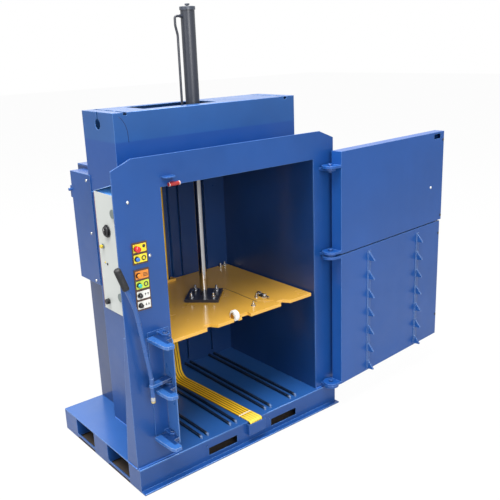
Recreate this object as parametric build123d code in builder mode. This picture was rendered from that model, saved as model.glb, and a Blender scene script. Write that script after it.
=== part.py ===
from build123d import *
import os
from math import cos, sin, tan, radians

# All sizes are in millimetres. X runs to the machine's right, Y to its rear, Z up.
# The origin is the centre of the base's footprint, at floor level.

# Base pallet
base_width = 1200.0
base_depth = 740.0
deck_top = 110.0
deck_sheet = 5.0
skirt_sheet = 5.0
lip_reach = 30.0
lip_sheet = 6.0
pocket_width = 181.0
front_pocket_width = 198.0
rear_runner_share = 0.3573
middle_runner_share = 0.3684
pocket_sill_low = 10.0
pocket_sill_high = 22.0
fork_slot_width = 168.0
fork_slot_low = 27.0
fork_slot_high = 66.0
fork_slot_pitch = 381.0
fork_slot_offset = 40.0
web_lift = 8.0
centre_foot_half = 60.0
drain_hole_radius = 4.0

# Front frame
frame_top = 1447.0
frame_sheet = 6.0
frame_setback = 14.0
frame_overhang = 6.0
gusset_depth = 82.0
gusset_tip = 12.0
gusset_rise = 610.0
left_column = 217.0
right_column = 133.0
corner_cut_wide = 92.0
corner_cut_high = 38.0
opening_top = 1317.0

# Press chamber
wall_sheet = 4.0
roof_sheet = 6.0
roof_lift = 17.0
back_inset = 4.0
twine_pair_pitch = 36.0
twine_inner = 110.0
twine_outer = 278.0
guide_width = 9.0
guide_height = 13.0
guide_end_gap = 16.0
twine_slot_width = 13.0
strap_channel_gap = 24.0
strap_channel_width = 20.0
twine_slot_low = 30.0
twine_slot_high = 60.0
twine_slot_shift = 8.0
rib_width = 44.0
wall_rib_width = 60.0
rib_depth = 26.0
rib_sheet = 4.0

# Cylinder, rod and platen
barrel_radius = 32.5
barrel_bore = 27.08
barrel_length = 658.0
cap_radius = 36.0
cap_height = 15.0
plug_radius = 12.0
plug_height = 7.0
plug_neck_radius = 7.0
plug_neck_height = 5.0
flange_size = 170.0
flange_thick = 14.0
gland_length = 28.0
gland_neck_radius = 25.0
running_gap = 0.08
rod_radius = 20.0
piston_radius = 27.0
piston_height = 32.0
piston_lift = 21.0
foot_size = 170.0
foot_thick = 15.0
foot_bolt_spread = 78.0
platen_top = 643.0
platen_thick = 16.0
platen_side_gap = 12.0
platen_front_gap = 14.0
platen_back_gap = 8.0
notch_width = 50.0
notch_depth = 36.0
notch_slope = 12.0
strap_notch_width = 54.0
strap_notch_depth = 26.0

# Ejector strap
strap_width = 80.0
strap_thick = 4.0
strap_front_shift = 4.0
strap_floor_shift = 39.0
strap_back_shift = 20.0
strap_hem_bend = 9.0
strap_bend = 60.0
strap_back_bend = 500.0
strap_rise_gap = 116.0
strap_join_drop = 43.0
strap_slot_gap = 9.0
strap_slot_depth = 28.0
strap_top = 1230.0

# Guide roller and spring latch on the platen
roller_radius = 26.0
roller_width = 22.0
roller_offset = 64.0
roller_lift = 11.0
roller_inset = 12.0
roller_bolt_radius = 5.0
ear_thick = 8.0
latch_offset = 206.0
latch_inset = 131.0
latch_length = 42.0
latch_size = 18.0
latch_wall = 4.0
seam_offset = 148.0
seam_width = 6.0
seam_depth = 2.0
latch_pin_radius = 5.0

# Doors
hinge_set_over = 64.0
axis_gap = 48.0
door_open_angle = 4.5
door_inner_offset = 45.0
door_thick = 60.0
door_sheet = 4.0
door_skin = 3.0
door_start = 30.0
upper_door_lap = 15.0
lower_door_lap = 1.0
upper_door_low = 845.0
upper_door_high = 1351.0
lower_door_low = 138.0
lower_door_high = 838.0
door_rib_width = 60.0
door_rib_sheet = 3.0
hinge_pin_radius = 8.0
hinge_lug_radius = 28.0
door_lug_radius = 40.0
hinge_lug_thick = 12.0
hinge_gap = 0.5
lug_edge_gap = 6.0
lug_flank = 42.0
tooth_count = 7
tooth_pitch = 102.0
tooth_reach = 38.0
tooth_height = 50.0
tooth_thick = 8.0
tooth_inner_share = 0.2758
tooth_outer_share = 0.7568
tooth_top_gap = 30.0
tooth_strip_width = 26.0
tooth_strip_thick = 3.0

# Door lock
lock_set_over = 54.0
lock_gap = 40.0
lock_bar_low = 210.0
lock_bar_high = 697.0
lock_bar_shift = 5.0
lock_bar_thick = 4.0
lock_bar_front = 47.0
lock_bar_rear = 30.0
lock_pin_radius = 8.0
lock_head_radius = 12.0
lock_head_height = 5.0
lock_eye_radius = 20.0
hook_levels = [690.0, 466.0, 226.0]
hook_thick = 14.0
lock_play = 0.5
lock_lug_radius = 18.0
lock_lug_thick = 8.0
lock_plate_left = 63.0
lock_plate_right = 40.0
lock_plate_sheet = 3.0
arm_level = 500.0
arm_thick = 12.0
arm_reach = 92.0
arm_forward = 16.0
arm_tip_radius = 12.0
lever_sleeve_radius = 10.0
lever_sleeve_drop = 44.0
lever_bolt_radius = 6.0
lever_head_radius = 11.0
lever_head_drop = 66.0
lever_radius = 9.0
lever_length = 496.0
lever_bend_high = 324.0
lever_bend_lean = 8.0
lever_lean = 20.0
lever_bend_radius = 400.0
grip_radius = 15.0
grip_length = 100.0
grip_end = 12.0

# Top housing
housing_overhang_left = 64.0
housing_overhang_right = 78.0
housing_front = -139.0
housing_back = 136.0
housing_top = 1604.0
housing_sheet = 4.0
housing_drop = 20.0
service_left_reach = 307.0
service_right_reach = 87.0
service_front = -72.0
service_back = 98.0
fold_slot_width = 18.0
fold_slot_drop = 13.0
fold_slot_inset = 58.0
lift_eye_radius = 23.0
lift_eye_drop = 52.0
lift_slot_width = 10.0

# Side cabinet, control panel and rear cover box
cabinet_sheet = 3.0
cabinet_back = 118.0
cabinet_top = 1250.0
panel_thick = 4.0
panel_low = 699.0
panel_rear_gap = 24.0
panel_front_gap = 106.0
box_depth = 197.0
gear_rise = 178.0
gear_inset = 30.0
gear_gap = 10.0
gear_count = 4
gear_rail_thick = 8.0
gear_rail_half = 17.5
gear_depth = 36.0
gear_half = 37.5
box_low = 800.0
box_top = 1320.0
box_sheet = 3.0
lid_rise = 60.0

# Buttons on the left column, measured from the column's outer edge and the floor
station_inset = 62.0
station_width = 70.0
station_thick = 3.0
legend_width = 64.0
legend_height = 40.0
legend_thick = 2.0
button_offset = 14.0
stop_level = 1089.0
reset_level = 1046.0
amber_level = 977.0
teal_level = 935.0
down_level = 891.0
up_level = 848.0
button_radius = 8.5
button_height = 7.0
stop_radius = 12.5
stop_height = 17.0
bezel_radius = 11.0
bezel_height = 4.0
stem_radius = 5.0
stem_length = 12.0
screw_radius = 7.0
screw_height = 5.0
switch_length = 54.0
switch_radius = 8.0
switch_inset = 24.0
switch_reach = 24.0
switch_gap = 5.0
bracket_length = 54.0
bracket_depth = 38.0
bracket_thick = 5.0

# Hydraulic unit and pipework
tank_end_gap = 24.0
unit_gap = 4.0
tank_width = 200.0
tank_height = 170.0
motor_radius = 58.0
motor_length = 128.0
block_size = 60.0
valve_depth = 40.0
pipe_radius = 5.5
pipe_offset = 60.0
supply_radius = 8.0

# Places worked out from the sizes above
half_w = base_width / 2
half_d = base_depth / 2
front_y = -half_d + frame_setback
plate_back = front_y + frame_sheet
cabinet_front = plate_back
frame_left = -half_w
frame_right = half_w + frame_overhang
opening_left = frame_left + left_column
opening_right = frame_right - right_column
wall_left = opening_left - wall_sheet
wall_right = opening_right + wall_sheet
back_inner = half_d - back_inset
centre_x = (opening_left + opening_right) / 2
centre_y = (housing_front + housing_back) / 2 + 1.5
roof_low = opening_top + roof_lift
roof_top = roof_low + roof_sheet
housing_left = wall_left - housing_overhang_left
housing_right = wall_right + housing_overhang_right
service_left = centre_x - service_left_reach
service_right = centre_x + service_right_reach
flange_top = roof_top + flange_thick
barrel_top = flange_top + barrel_length
gland_top = roof_low + gland_length
piston_low = gland_top + piston_lift
foot_top = platen_top + foot_thick
platen_low = platen_top - platen_thick
platen_left = opening_left + platen_side_gap
platen_right = opening_right - platen_side_gap
platen_front = front_y + platen_front_gap
platen_rear = back_inner - platen_back_gap
axis_x = opening_right + hinge_set_over
axis_y = front_y - axis_gap
upper_door_end = axis_x - opening_left + upper_door_lap
lower_door_end = axis_x - opening_left + lower_door_lap
tooth_inner_line = lower_door_end * tooth_inner_share
tooth_outer_line = lower_door_end * tooth_outer_share
runner_total = base_depth - pocket_width - front_pocket_width
pocket_rear_low = half_d - runner_total * rear_runner_share - pocket_width
pocket_front_low = pocket_rear_low - runner_total * middle_runner_share - front_pocket_width
lock_x = opening_left - lock_set_over
lock_y = front_y - lock_gap
roller_centre_x = centre_x - roller_offset
latch_x = centre_x + latch_offset
latch_y = platen_front + latch_inset
seam_x = centre_x + seam_offset
switch_x = opening_left + switch_inset
switch_y = front_y - switch_reach
switch_z = opening_top + 10.0
cabinet_x = housing_left
panel_x = cabinet_x - panel_thick
panel_high = cabinet_top + 2.0
station_x = frame_left + station_inset + station_width / 2
button_x = station_x - legend_width / 2 + button_offset
upper_levels = [stop_level, reset_level]
lower_levels = [amber_level, teal_level, down_level, up_level]
door_plane = Plane(
    origin=(axis_x, axis_y, 0),
    x_dir=(cos(radians(door_open_angle)), sin(radians(door_open_angle)), 0),
    z_dir=(0, 0, 1),
)
twine_lines = [centre_x + side * offset for side in (-1, 1) for offset in (twine_inner, twine_outer)]
strap_front_x = centre_x - strap_front_shift
strap_floor_x = centre_x - strap_floor_shift
strap_back_x = centre_x - strap_back_shift
channel_offset = strap_width / 2 + strap_channel_gap + strap_channel_width / 2

os.makedirs("parts", exist_ok=True)


def finish(builder, label):
    """Give the piece its name and write it."""
    builder.part.label = label
    export_step(builder.part, f"parts/{label}.step")


def block(x0, x1, y0, y1, z0, z1, mode=Mode.ADD):
    """Add or cut a rectangular block between the given faces."""
    with BuildSketch(Plane.XY.offset(z0)) as outline:
        with Locations(((x0 + x1) / 2, (y0 + y1) / 2)):
            Rectangle(x1 - x0, y1 - y0)
    extrude(outline.sketch, amount=z1 - z0, mode=mode)


def front_disc(x, y, z, radius, depth, mode=Mode.ADD):
    """Add or cut a round piece that stands out of a front face, towards -Y."""
    with BuildSketch(Plane((x, y, z), x_dir=(1, 0, 0), z_dir=(0, -1, 0))) as outline:
        Circle(radius)
    extrude(outline.sketch, amount=depth, mode=mode)


def side_disc(x, y, z, radius, depth, mode=Mode.ADD):
    """Add or cut a round piece that stands out of a left face, towards -X."""
    with BuildSketch(Plane((x, y, z), x_dir=(0, 1, 0), z_dir=(-1, 0, 0))) as outline:
        Circle(radius)
    extrude(outline.sketch, amount=depth, mode=mode)


def upright_disc(x, y, z, radius, height, mode=Mode.ADD):
    """Add or cut a round piece that stands on a level face."""
    with BuildSketch(Plane((x, y, z))) as outline:
        Circle(radius)
    extrude(outline.sketch, amount=height, mode=mode)


# Base pallet: deck, skirts, webs
with BuildPart() as base_deck:
    block(-half_w, half_w, -half_d, half_d, deck_top - deck_sheet, deck_top)
    fillet(base_deck.edges().filter_by(Axis.Z), radius=4.0)
finish(base_deck, "base_deck")

skirt_top = deck_top - deck_sheet
fork_centres = [fork_slot_offset - fork_slot_pitch / 2, fork_slot_offset + fork_slot_pitch / 2]


def cut_fork_slots(y0, y1):
    """Open the two fork slots through an upright sheet."""
    for fork_x in fork_centres:
        block(fork_x - fork_slot_width / 2, fork_x + fork_slot_width / 2, y0, y1,
              fork_slot_low, fork_slot_high, mode=Mode.SUBTRACT)


def side_skirt(x0):
    """An upright side sheet with two pallet truck pockets and a sill below each."""
    block(x0, x0 + skirt_sheet, -half_d + skirt_sheet, half_d - skirt_sheet, 0, skirt_top)
    for low, wide in ((pocket_rear_low, pocket_width), (pocket_front_low, front_pocket_width)):
        block(x0 - 1, x0 + skirt_sheet + 1, low, low + wide, pocket_sill_high, skirt_top,
              mode=Mode.SUBTRACT)
        block(x0 - 1, x0 + skirt_sheet + 1, low, low + wide, -1, pocket_sill_low, mode=Mode.SUBTRACT)


web_lines = [
    pocket_rear_low + pocket_width,
    pocket_rear_low - skirt_sheet,
    pocket_front_low + front_pocket_width,
    pocket_front_low - skirt_sheet,
]
with BuildPart() as pallet_frame:
    block(-half_w, half_w, -half_d, -half_d + skirt_sheet, 0, skirt_top)
    block(-half_w, half_w, -half_d - lip_reach, -half_d, 0, lip_sheet)
    cut_fork_slots(-half_d - 1, -half_d + skirt_sheet + 1)
    for fork_x in fork_centres:
        front_disc(fork_x - fork_slot_width / 2 - 10, -half_d + skirt_sheet, fork_slot_high + 14,
                   drain_hole_radius, skirt_sheet, mode=Mode.SUBTRACT)
    block(-half_w, half_w, half_d - skirt_sheet, half_d, 0, skirt_top)
    cut_fork_slots(half_d - skirt_sheet - 1, half_d + 1)
    side_skirt(-half_w)
    side_skirt(half_w - skirt_sheet)
    for web_y in web_lines:
        block(-half_w + skirt_sheet, half_w - skirt_sheet, web_y, web_y + skirt_sheet, web_lift, skirt_top)
        cut_fork_slots(web_y - 1, web_y + skirt_sheet + 1)
    foot_front = pocket_front_low + front_pocket_width + skirt_sheet
    foot_rear = pocket_rear_low - skirt_sheet
    block(-centre_foot_half, centre_foot_half, foot_front, foot_rear, 0, skirt_sheet)
    for side in (-1, 1):
        foot_side = side * (centre_foot_half - skirt_sheet / 2)
        block(foot_side - skirt_sheet / 2, foot_side + skirt_sheet / 2, foot_front, foot_rear, 0, skirt_top)
finish(pallet_frame, "pallet_frame")

# Twine guides: four pairs of low bars along the floor, tapered at both ends
with BuildPart() as twine_guides:
    for line_x in twine_lines:
        for side in (-1, 1):
            guide_x = line_x + side * twine_pair_pitch / 2
            guide_start = front_y + guide_end_gap
            guide_stop = back_inner - 2.0
            with BuildSketch(Plane.YZ.offset(guide_x - guide_width / 2)) as guide_side:
                with BuildLine():
                    Polyline((guide_start, deck_top), (guide_stop, deck_top),
                             (guide_stop, deck_top + guide_height),
                             (guide_start + 16, deck_top + guide_height), close=True)
                make_face()
            extrude(guide_side.sketch, amount=guide_width)
finish(twine_guides, "twine_guides")

# Front frame: one plate with the door opening, and a tapered gusset behind each outer edge
frame_outline = [
    (frame_left, deck_top),
    (frame_left, frame_top - corner_cut_high),
    (frame_left + corner_cut_wide, frame_top),
    (frame_right - corner_cut_wide, frame_top),
    (frame_right, frame_top - corner_cut_high),
    (frame_right, deck_top),
]
gusset_outline = [
    (plate_back, deck_top),
    (plate_back + gusset_depth, deck_top),
    (plate_back + gusset_tip, deck_top + gusset_rise),
    (plate_back, deck_top + gusset_rise),
]
with BuildPart() as front_frame:
    with BuildSketch(Plane.XZ.offset(-front_y)) as frame_face:
        with BuildLine():
            Polyline(*frame_outline, close=True)
        make_face()
    extrude(frame_face.sketch, amount=-frame_sheet)
    block(opening_left, opening_right, front_y - 1, plate_back + 1, deck_top - 1, opening_top,
          mode=Mode.SUBTRACT)
    for gusset_x in (frame_left, frame_right - frame_sheet):
        with BuildSketch(Plane.YZ.offset(gusset_x)) as gusset:
            with BuildLine():
                Polyline(*gusset_outline, close=True)
            make_face()
        extrude(gusset.sketch, amount=frame_sheet)
    for level in upper_levels + lower_levels:
        front_disc(button_x, plate_back + 1, level, stem_radius + running_gap, frame_sheet + 2,
                   mode=Mode.SUBTRACT)
finish(front_frame, "front_frame")

# Press chamber: two side walls, back wall and roof
with BuildPart() as chamber_left_wall:
    block(wall_left, opening_left, plate_back, back_inner, deck_top, roof_low)
finish(chamber_left_wall, "chamber_left_wall")

with BuildPart() as chamber_right_wall:
    block(opening_right, wall_right, plate_back, back_inner, deck_top, roof_low)
finish(chamber_right_wall, "chamber_right_wall")

with BuildPart() as chamber_back_wall:
    block(wall_left, wall_right, back_inner, half_d, deck_top, roof_low)
    for slot_x in [line_x + twine_slot_shift for line_x in twine_lines]:
        block(slot_x - twine_slot_width / 2, slot_x + twine_slot_width / 2, back_inner - 1, half_d + 1,
              deck_top + twine_slot_low, roof_low - twine_slot_high, mode=Mode.SUBTRACT)
    for side in (-1, 1):
        channel_x = strap_back_x + side * channel_offset
        block(channel_x - strap_channel_width / 2, channel_x + strap_channel_width / 2,
              back_inner - 1, half_d + 1,
              deck_top + twine_slot_low, roof_low - twine_slot_high, mode=Mode.SUBTRACT)
finish(chamber_back_wall, "chamber_back_wall")

with BuildPart() as chamber_roof:
    block(wall_left, wall_right, plate_back, half_d, roof_low, roof_top)
    upright_disc(centre_x, centre_y, roof_low, gland_neck_radius, roof_sheet, mode=Mode.SUBTRACT)
finish(chamber_roof, "chamber_roof")

# Hollow ribs outside the walls; the rear ones close the slots from behind
rib_levels = [deck_top + 130 + step * (roof_low - deck_top - 260) / 3 for step in range(4)]
rear_ribs = [(line_x + twine_slot_shift, rib_width / 2) for line_x in twine_lines]
rear_ribs.append((strap_back_x, channel_offset + strap_channel_width / 2 + 3))
with BuildPart() as wall_ribs:
    for level in rib_levels:
        block(wall_right, wall_right + rib_depth, plate_back + 120, half_d - 30,
              level - wall_rib_width / 2, level + wall_rib_width / 2)
        block(wall_right - 1, wall_right + rib_depth - rib_sheet, plate_back + 119, half_d - 29,
              level - wall_rib_width / 2 + rib_sheet, level + wall_rib_width / 2 - rib_sheet,
              mode=Mode.SUBTRACT)
    for rib_x, rib_half in rear_ribs:
        block(rib_x - rib_half, rib_x + rib_half, half_d, half_d + rib_depth, deck_top + 12, roof_low - 20)
        block(rib_x - rib_half + rib_sheet, rib_x + rib_half - rib_sheet, half_d - 1,
              half_d + rib_depth - rib_sheet, deck_top + 16, roof_low - 24, mode=Mode.SUBTRACT)
finish(wall_ribs, "wall_ribs")

# Top housing: a folded cover with two end plates
def end_plate(x0, lower_edge):
    """An upright end plate with a lifting keyhole above the given lower edge."""
    with BuildSketch(Plane.YZ.offset(x0)) as plate_face:
        with BuildLine():
            Polyline((housing_back, housing_top), (housing_front, housing_top), *lower_edge, close=True)
        make_face()
        with Locations((centre_y, housing_top - lift_eye_drop)):
            Circle(lift_eye_radius, mode=Mode.SUBTRACT)
        with Locations((centre_y, housing_top - lift_eye_drop / 2)):
            Rectangle(lift_slot_width, lift_eye_drop + 2, mode=Mode.SUBTRACT)
    extrude(plate_face.sketch, amount=housing_sheet)


with BuildPart() as top_housing:
    block(housing_left + housing_sheet, housing_right - housing_sheet, housing_front, housing_back,
          roof_top - housing_drop, housing_top)
    block(housing_left, housing_right, housing_front + housing_sheet, housing_back - housing_sheet,
          roof_top - housing_drop - 1, housing_top - housing_sheet, mode=Mode.SUBTRACT)
    block(wall_left, wall_right, housing_front - 1, housing_back + 1,
          roof_top - housing_drop - 1, roof_top, mode=Mode.SUBTRACT)
    fillet(top_housing.edges().filter_by(Axis.X).group_by(Axis.Z)[-1].sort_by(Axis.Y)[0], radius=3.0)
    block(service_left, service_right, service_front, service_back,
          housing_top - housing_sheet - 1, housing_top + 1, mode=Mode.SUBTRACT)
    slot_span = housing_back - housing_front
    for slot_x in (housing_left + fold_slot_inset, housing_right - fold_slot_inset):
        for part_of_span in range(3):
            slot_start = housing_front + 6 + part_of_span * slot_span / 3
            block(slot_x - fold_slot_width / 2, slot_x + fold_slot_width / 2,
                  slot_start, slot_start + slot_span / 3 - 12,
                  housing_top - housing_sheet - 1, housing_top + 1, mode=Mode.SUBTRACT)
        block(slot_x - fold_slot_width / 2, slot_x + fold_slot_width / 2, housing_front - 1,
              housing_front + 7, housing_top - fold_slot_drop, housing_top + 1, mode=Mode.SUBTRACT)
    sloping_edge = [
        (housing_front, roof_top - 26),
        (cabinet_back - 22, cabinet_top + 2),
        (cabinet_back, cabinet_top + 2),
        (cabinet_back, box_top),
        (housing_back, box_top),
    ]
    end_plate(housing_left, sloping_edge)
    end_plate(housing_right - housing_sheet, [(housing_front, box_top), (housing_back, box_top)])
finish(top_housing, "top_housing")

# Side cabinet on the left wall, with the control panel let into it
panel_rear = cabinet_back - panel_rear_gap
panel_front = cabinet_front + panel_front_gap
lid_low = cabinet_top - 6.0
lid_drop = cabinet_sheet * 1.4
with BuildPart() as side_cabinet:
    block(cabinet_x, cabinet_x + cabinet_sheet, cabinet_front, cabinet_back, deck_top, lid_low)
    block(cabinet_x, wall_left, cabinet_back - cabinet_sheet, cabinet_back, deck_top, lid_low)
    with BuildSketch(Plane.XZ.offset(-cabinet_front)) as lid_end:
        with BuildLine():
            Polyline((cabinet_x, lid_low - lid_drop), (cabinet_x, lid_low), (wall_left, lid_low + lid_rise),
                     (wall_left, lid_low + lid_rise - lid_drop), close=True)
        make_face()
    extrude(lid_end.sketch, amount=cabinet_front - cabinet_back)
    block(cabinet_x - 1, cabinet_x + cabinet_sheet + 1, panel_front + 10, panel_rear - 10,
          panel_low + 10, panel_high - 12, mode=Mode.SUBTRACT)
finish(side_cabinet, "side_cabinet")

isolator_place = (panel_rear - 96, panel_high - 168)
panel_button_place = (panel_rear - 44, panel_high - 247)
panel_knob_place = (panel_rear - 49, panel_low + 43)
grommet_places = [(panel_rear - 166, panel_high - 79), (panel_rear - 169, panel_low + 90)]
with BuildPart() as control_panel:
    block(panel_x, cabinet_x, panel_front, panel_rear, panel_low, panel_high)
    side_disc(cabinet_x, isolator_place[0], isolator_place[1], stem_radius + running_gap, panel_thick,
              mode=Mode.SUBTRACT)
    side_disc(cabinet_x, panel_button_place[0], panel_button_place[1], stem_radius + running_gap,
              panel_thick, mode=Mode.SUBTRACT)
    side_disc(cabinet_x, panel_knob_place[0], panel_knob_place[1], stem_radius + running_gap,
              panel_thick, mode=Mode.SUBTRACT)
finish(control_panel, "control_panel")

with BuildPart() as panel_fittings:
    for grommet_y, grommet_z in grommet_places:
        side_disc(panel_x, grommet_y, grommet_z, 20.0, 7.0)
    side_disc(panel_x, isolator_place[0], isolator_place[1], 29.0, 4.0)
    side_disc(panel_x, panel_button_place[0], panel_button_place[1], bezel_radius, bezel_height)
    for place_y, place_z in (isolator_place, panel_button_place):
        side_disc(panel_x + 1, place_y, place_z, stem_radius + running_gap, bezel_height + 2,
                  mode=Mode.SUBTRACT)
finish(panel_fittings, "panel_fittings")

with BuildPart() as isolator_knob:
    side_disc(panel_x - 4.5, isolator_place[0], isolator_place[1], 24.0, 8.0)
    with BuildSketch(Plane((panel_x - 12.5, isolator_place[0], isolator_place[1]),
                           x_dir=(0, 1, 0), z_dir=(-1, 0, 0))) as isolator_grip:
        Rectangle(14, 42)
    extrude(isolator_grip.sketch, amount=13)
    side_disc(cabinet_x + 3, isolator_place[0], isolator_place[1], stem_radius, panel_thick + 10)
finish(isolator_knob, "isolator_knob")

with BuildPart() as panel_button:
    side_disc(panel_x - bezel_height - 4, panel_button_place[0], panel_button_place[1], button_radius, 8.0)
    side_disc(cabinet_x + 6, panel_button_place[0], panel_button_place[1], stem_radius,
              panel_thick + bezel_height + 11)
finish(panel_button, "panel_button")

with BuildPart() as panel_knob:
    side_disc(panel_x - 1, panel_knob_place[0], panel_knob_place[1], 13.0, 16.0)
    side_disc(cabinet_x + 4, panel_knob_place[0], panel_knob_place[1], stem_radius, panel_thick + 6)
    fillet(panel_knob.edges().filter_by(GeomType.CIRCLE).sort_by(Axis.X)[0], radius=2.0)
finish(panel_knob, "panel_knob")

# Switchgear behind the panel
gear_level = panel_low + gear_rise
gear_pitch = (panel_rear - panel_front - 2 * gear_inset - gear_gap) / gear_count
with BuildPart() as switchgear:
    block(wall_left - gear_rail_thick, wall_left, panel_front + gear_inset, panel_rear - gear_inset,
          gear_level - gear_rail_half, gear_level + gear_rail_half)
    for step in range(gear_count):
        start = panel_front + gear_inset + gear_gap + step * gear_pitch
        block(wall_left - gear_rail_thick - gear_depth, wall_left - gear_rail_thick, start,
              start + gear_pitch - gear_gap, gear_level - gear_half, gear_level + gear_half)
finish(switchgear, "switchgear")

# Rear cover box beside the back of the chamber
box_left = cabinet_x - 4.0
box_rear = cabinet_back + box_depth
with BuildPart() as rear_cover_box:
    block(box_left, wall_left, cabinet_back, box_rear, box_low, box_top)
    block(box_left + box_sheet, wall_left + 1, cabinet_back + box_sheet, box_rear - box_sheet,
          box_low + box_sheet, box_top - box_sheet, mode=Mode.SUBTRACT)
    block(box_left, box_left + 22, box_rear, box_rear + 16, box_top - 128, box_top - 72)
    side_disc(box_left, box_rear + 8, box_top - 90, 7.0, 12.0)
finish(rear_cover_box, "rear_cover_box")

with BuildPart() as dome_screws:
    for level in (box_top - 24, (box_top + box_low) / 2 - 8, box_low + 24):
        side_disc(box_left, cabinet_back + 12, level, screw_radius, screw_height)
    for screw_x, screw_z in (
        (frame_left + 63, frame_top - 168),
        (frame_left + 143, reset_level),
    ):
        front_disc(screw_x, front_y, screw_z, screw_radius, screw_height)
finish(dome_screws, "dome_screws")

# Hydraulic unit inside the top housing
pipe_x = centre_x - pipe_offset
valve_x = pipe_x - 8
valve_left = valve_x - 22
motor_stop = valve_left - unit_gap
motor_start = motor_stop - motor_length
tank_left = housing_left + tank_end_gap
tank_right = motor_start - block_size
unit_z = roof_top + 76
with BuildPart() as oil_tank:
    block(tank_left, tank_right, centre_y - tank_width / 2, centre_y + tank_width / 2,
          roof_top, roof_top + tank_height)
    fillet(oil_tank.edges().filter_by(Axis.Z), radius=14.0)
    upright_disc(tank_left + 50, centre_y + 30, roof_top + tank_height, 17.0, 26.0)
finish(oil_tank, "oil_tank")

with BuildPart() as pump_unit:
    block(tank_right, motor_start, centre_y - 45, centre_y + 45, unit_z - 40, unit_z + 44)
    with BuildSketch(Plane.YZ.offset(motor_start)) as motor_end:
        with Locations((centre_y, unit_z)):
            Circle(motor_radius)
    extrude(motor_end.sketch, amount=motor_length)
    fin_step = (motor_length - 30) / 6
    for fin in range(6):
        with BuildSketch(Plane.YZ.offset(motor_start + 18 + fin * fin_step)) as fin_gap:
            with Locations((centre_y, unit_z)):
                Circle(motor_radius + 1)
                Circle(motor_radius - 5, mode=Mode.SUBTRACT)
        extrude(fin_gap.sketch, amount=fin_step / 2, mode=Mode.SUBTRACT)
    block(motor_start + 20, motor_start + motor_length - 20, centre_y - 30, centre_y + 30,
          roof_top, unit_z - motor_radius + 8)
finish(pump_unit, "pump_unit")

# Hydraulic cylinder
flange_bolt_spread = flange_size / 2 - 22
with BuildPart() as cylinder_flange:
    block(centre_x - flange_size / 2, centre_x + flange_size / 2,
          centre_y - flange_size / 2, centre_y + flange_size / 2, roof_top, flange_top)
    for bolt_x in (-flange_bolt_spread, flange_bolt_spread):
        for bolt_y in (-flange_bolt_spread, flange_bolt_spread):
            with BuildSketch(Plane((centre_x + bolt_x, centre_y + bolt_y, flange_top))) as bolt_head:
                RegularPolygon(12.0, 6)
            extrude(bolt_head.sketch, amount=9)
    upright_disc(centre_x, centre_y, roof_low, gland_neck_radius, roof_sheet)
    upright_disc(centre_x, centre_y, flange_top, barrel_bore, gland_top - flange_top)
    upright_disc(centre_x, centre_y, roof_low - 1, rod_radius + running_gap, gland_length + 2,
                 mode=Mode.SUBTRACT)
finish(cylinder_flange, "cylinder_flange")

with BuildPart() as cylinder_barrel:
    with BuildSketch(Plane.XY.offset(flange_top)) as barrel_ring:
        with Locations((centre_x, centre_y)):
            Circle(barrel_radius)
            Circle(barrel_bore, mode=Mode.SUBTRACT)
    extrude(barrel_ring.sketch, amount=barrel_length)
finish(cylinder_barrel, "cylinder_barrel")

with BuildPart() as cylinder_cap:
    upright_disc(centre_x, centre_y, barrel_top, cap_radius, cap_height)
    fillet(cylinder_cap.edges().filter_by(GeomType.CIRCLE).sort_by(Axis.Z)[-1], radius=2.5)
    upright_disc(centre_x, centre_y, barrel_top + cap_height, plug_neck_radius, plug_neck_height)
    with BuildSketch(Plane((centre_x, centre_y, barrel_top + cap_height + plug_neck_height))) as plug_head:
        RegularPolygon(plug_radius, 6)
    extrude(plug_head.sketch, amount=plug_height)
finish(cylinder_cap, "cylinder_cap")

# Thin pipe beside the barrel, from the upper port to the valve block on the flange
port_z = barrel_top - 26
port_tip = centre_x - barrel_radius - 9
valve_top = roof_top + 129
valve_back = centre_y + valve_depth / 2
pipe_points = [
    (port_tip, centre_y, port_z),
    (pipe_x - 10, centre_y, port_z),
    (pipe_x - 10, centre_y, port_z - 40),
    (pipe_x, centre_y, port_z - 80),
    (pipe_x, centre_y, valve_top + 60),
    (valve_x, centre_y, valve_top + 30),
    (valve_x, centre_y, valve_top + 16),
]
with BuildPart() as oil_pipe:
    with BuildLine() as pipe_path:
        FilletPolyline(*pipe_points, radius=[11.0, 60.0, 60.0, 40.0, 24.0])
    with BuildSketch(Plane(pipe_path.line @ 0, z_dir=pipe_path.line % 0)):
        Circle(pipe_radius)
    sweep()
finish(oil_pipe, "oil_pipe")

# Supply pipe from the pump unit, bent up under the service opening
supply_start_x = tank_right + block_size / 2
supply_z = flange_top + 40
supply_nut = 12.0
supply_reach = 100.0
supply_run = valve_x - supply_start_x
supply_points = [
    (supply_start_x, centre_y + 20, unit_z + 44),
    (supply_start_x, centre_y + 20, unit_z + 140),
    (supply_start_x + supply_run * 0.46, centre_y + 55, unit_z + 168),
    (supply_start_x + supply_run * 0.81, centre_y + 88, unit_z + 100),
    (valve_x, centre_y + supply_reach, supply_z),
    (valve_x, valve_back + supply_nut, supply_z),
]
with BuildPart() as supply_pipe:
    with BuildLine() as supply_path:
        FilletPolyline(*supply_points, radius=[48.0, 60.0, 60.0, 24.0])
    with BuildSketch(Plane(supply_path.line @ 0, z_dir=supply_path.line % 0)):
        Circle(supply_radius)
    sweep()
finish(supply_pipe, "supply_pipe")

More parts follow.
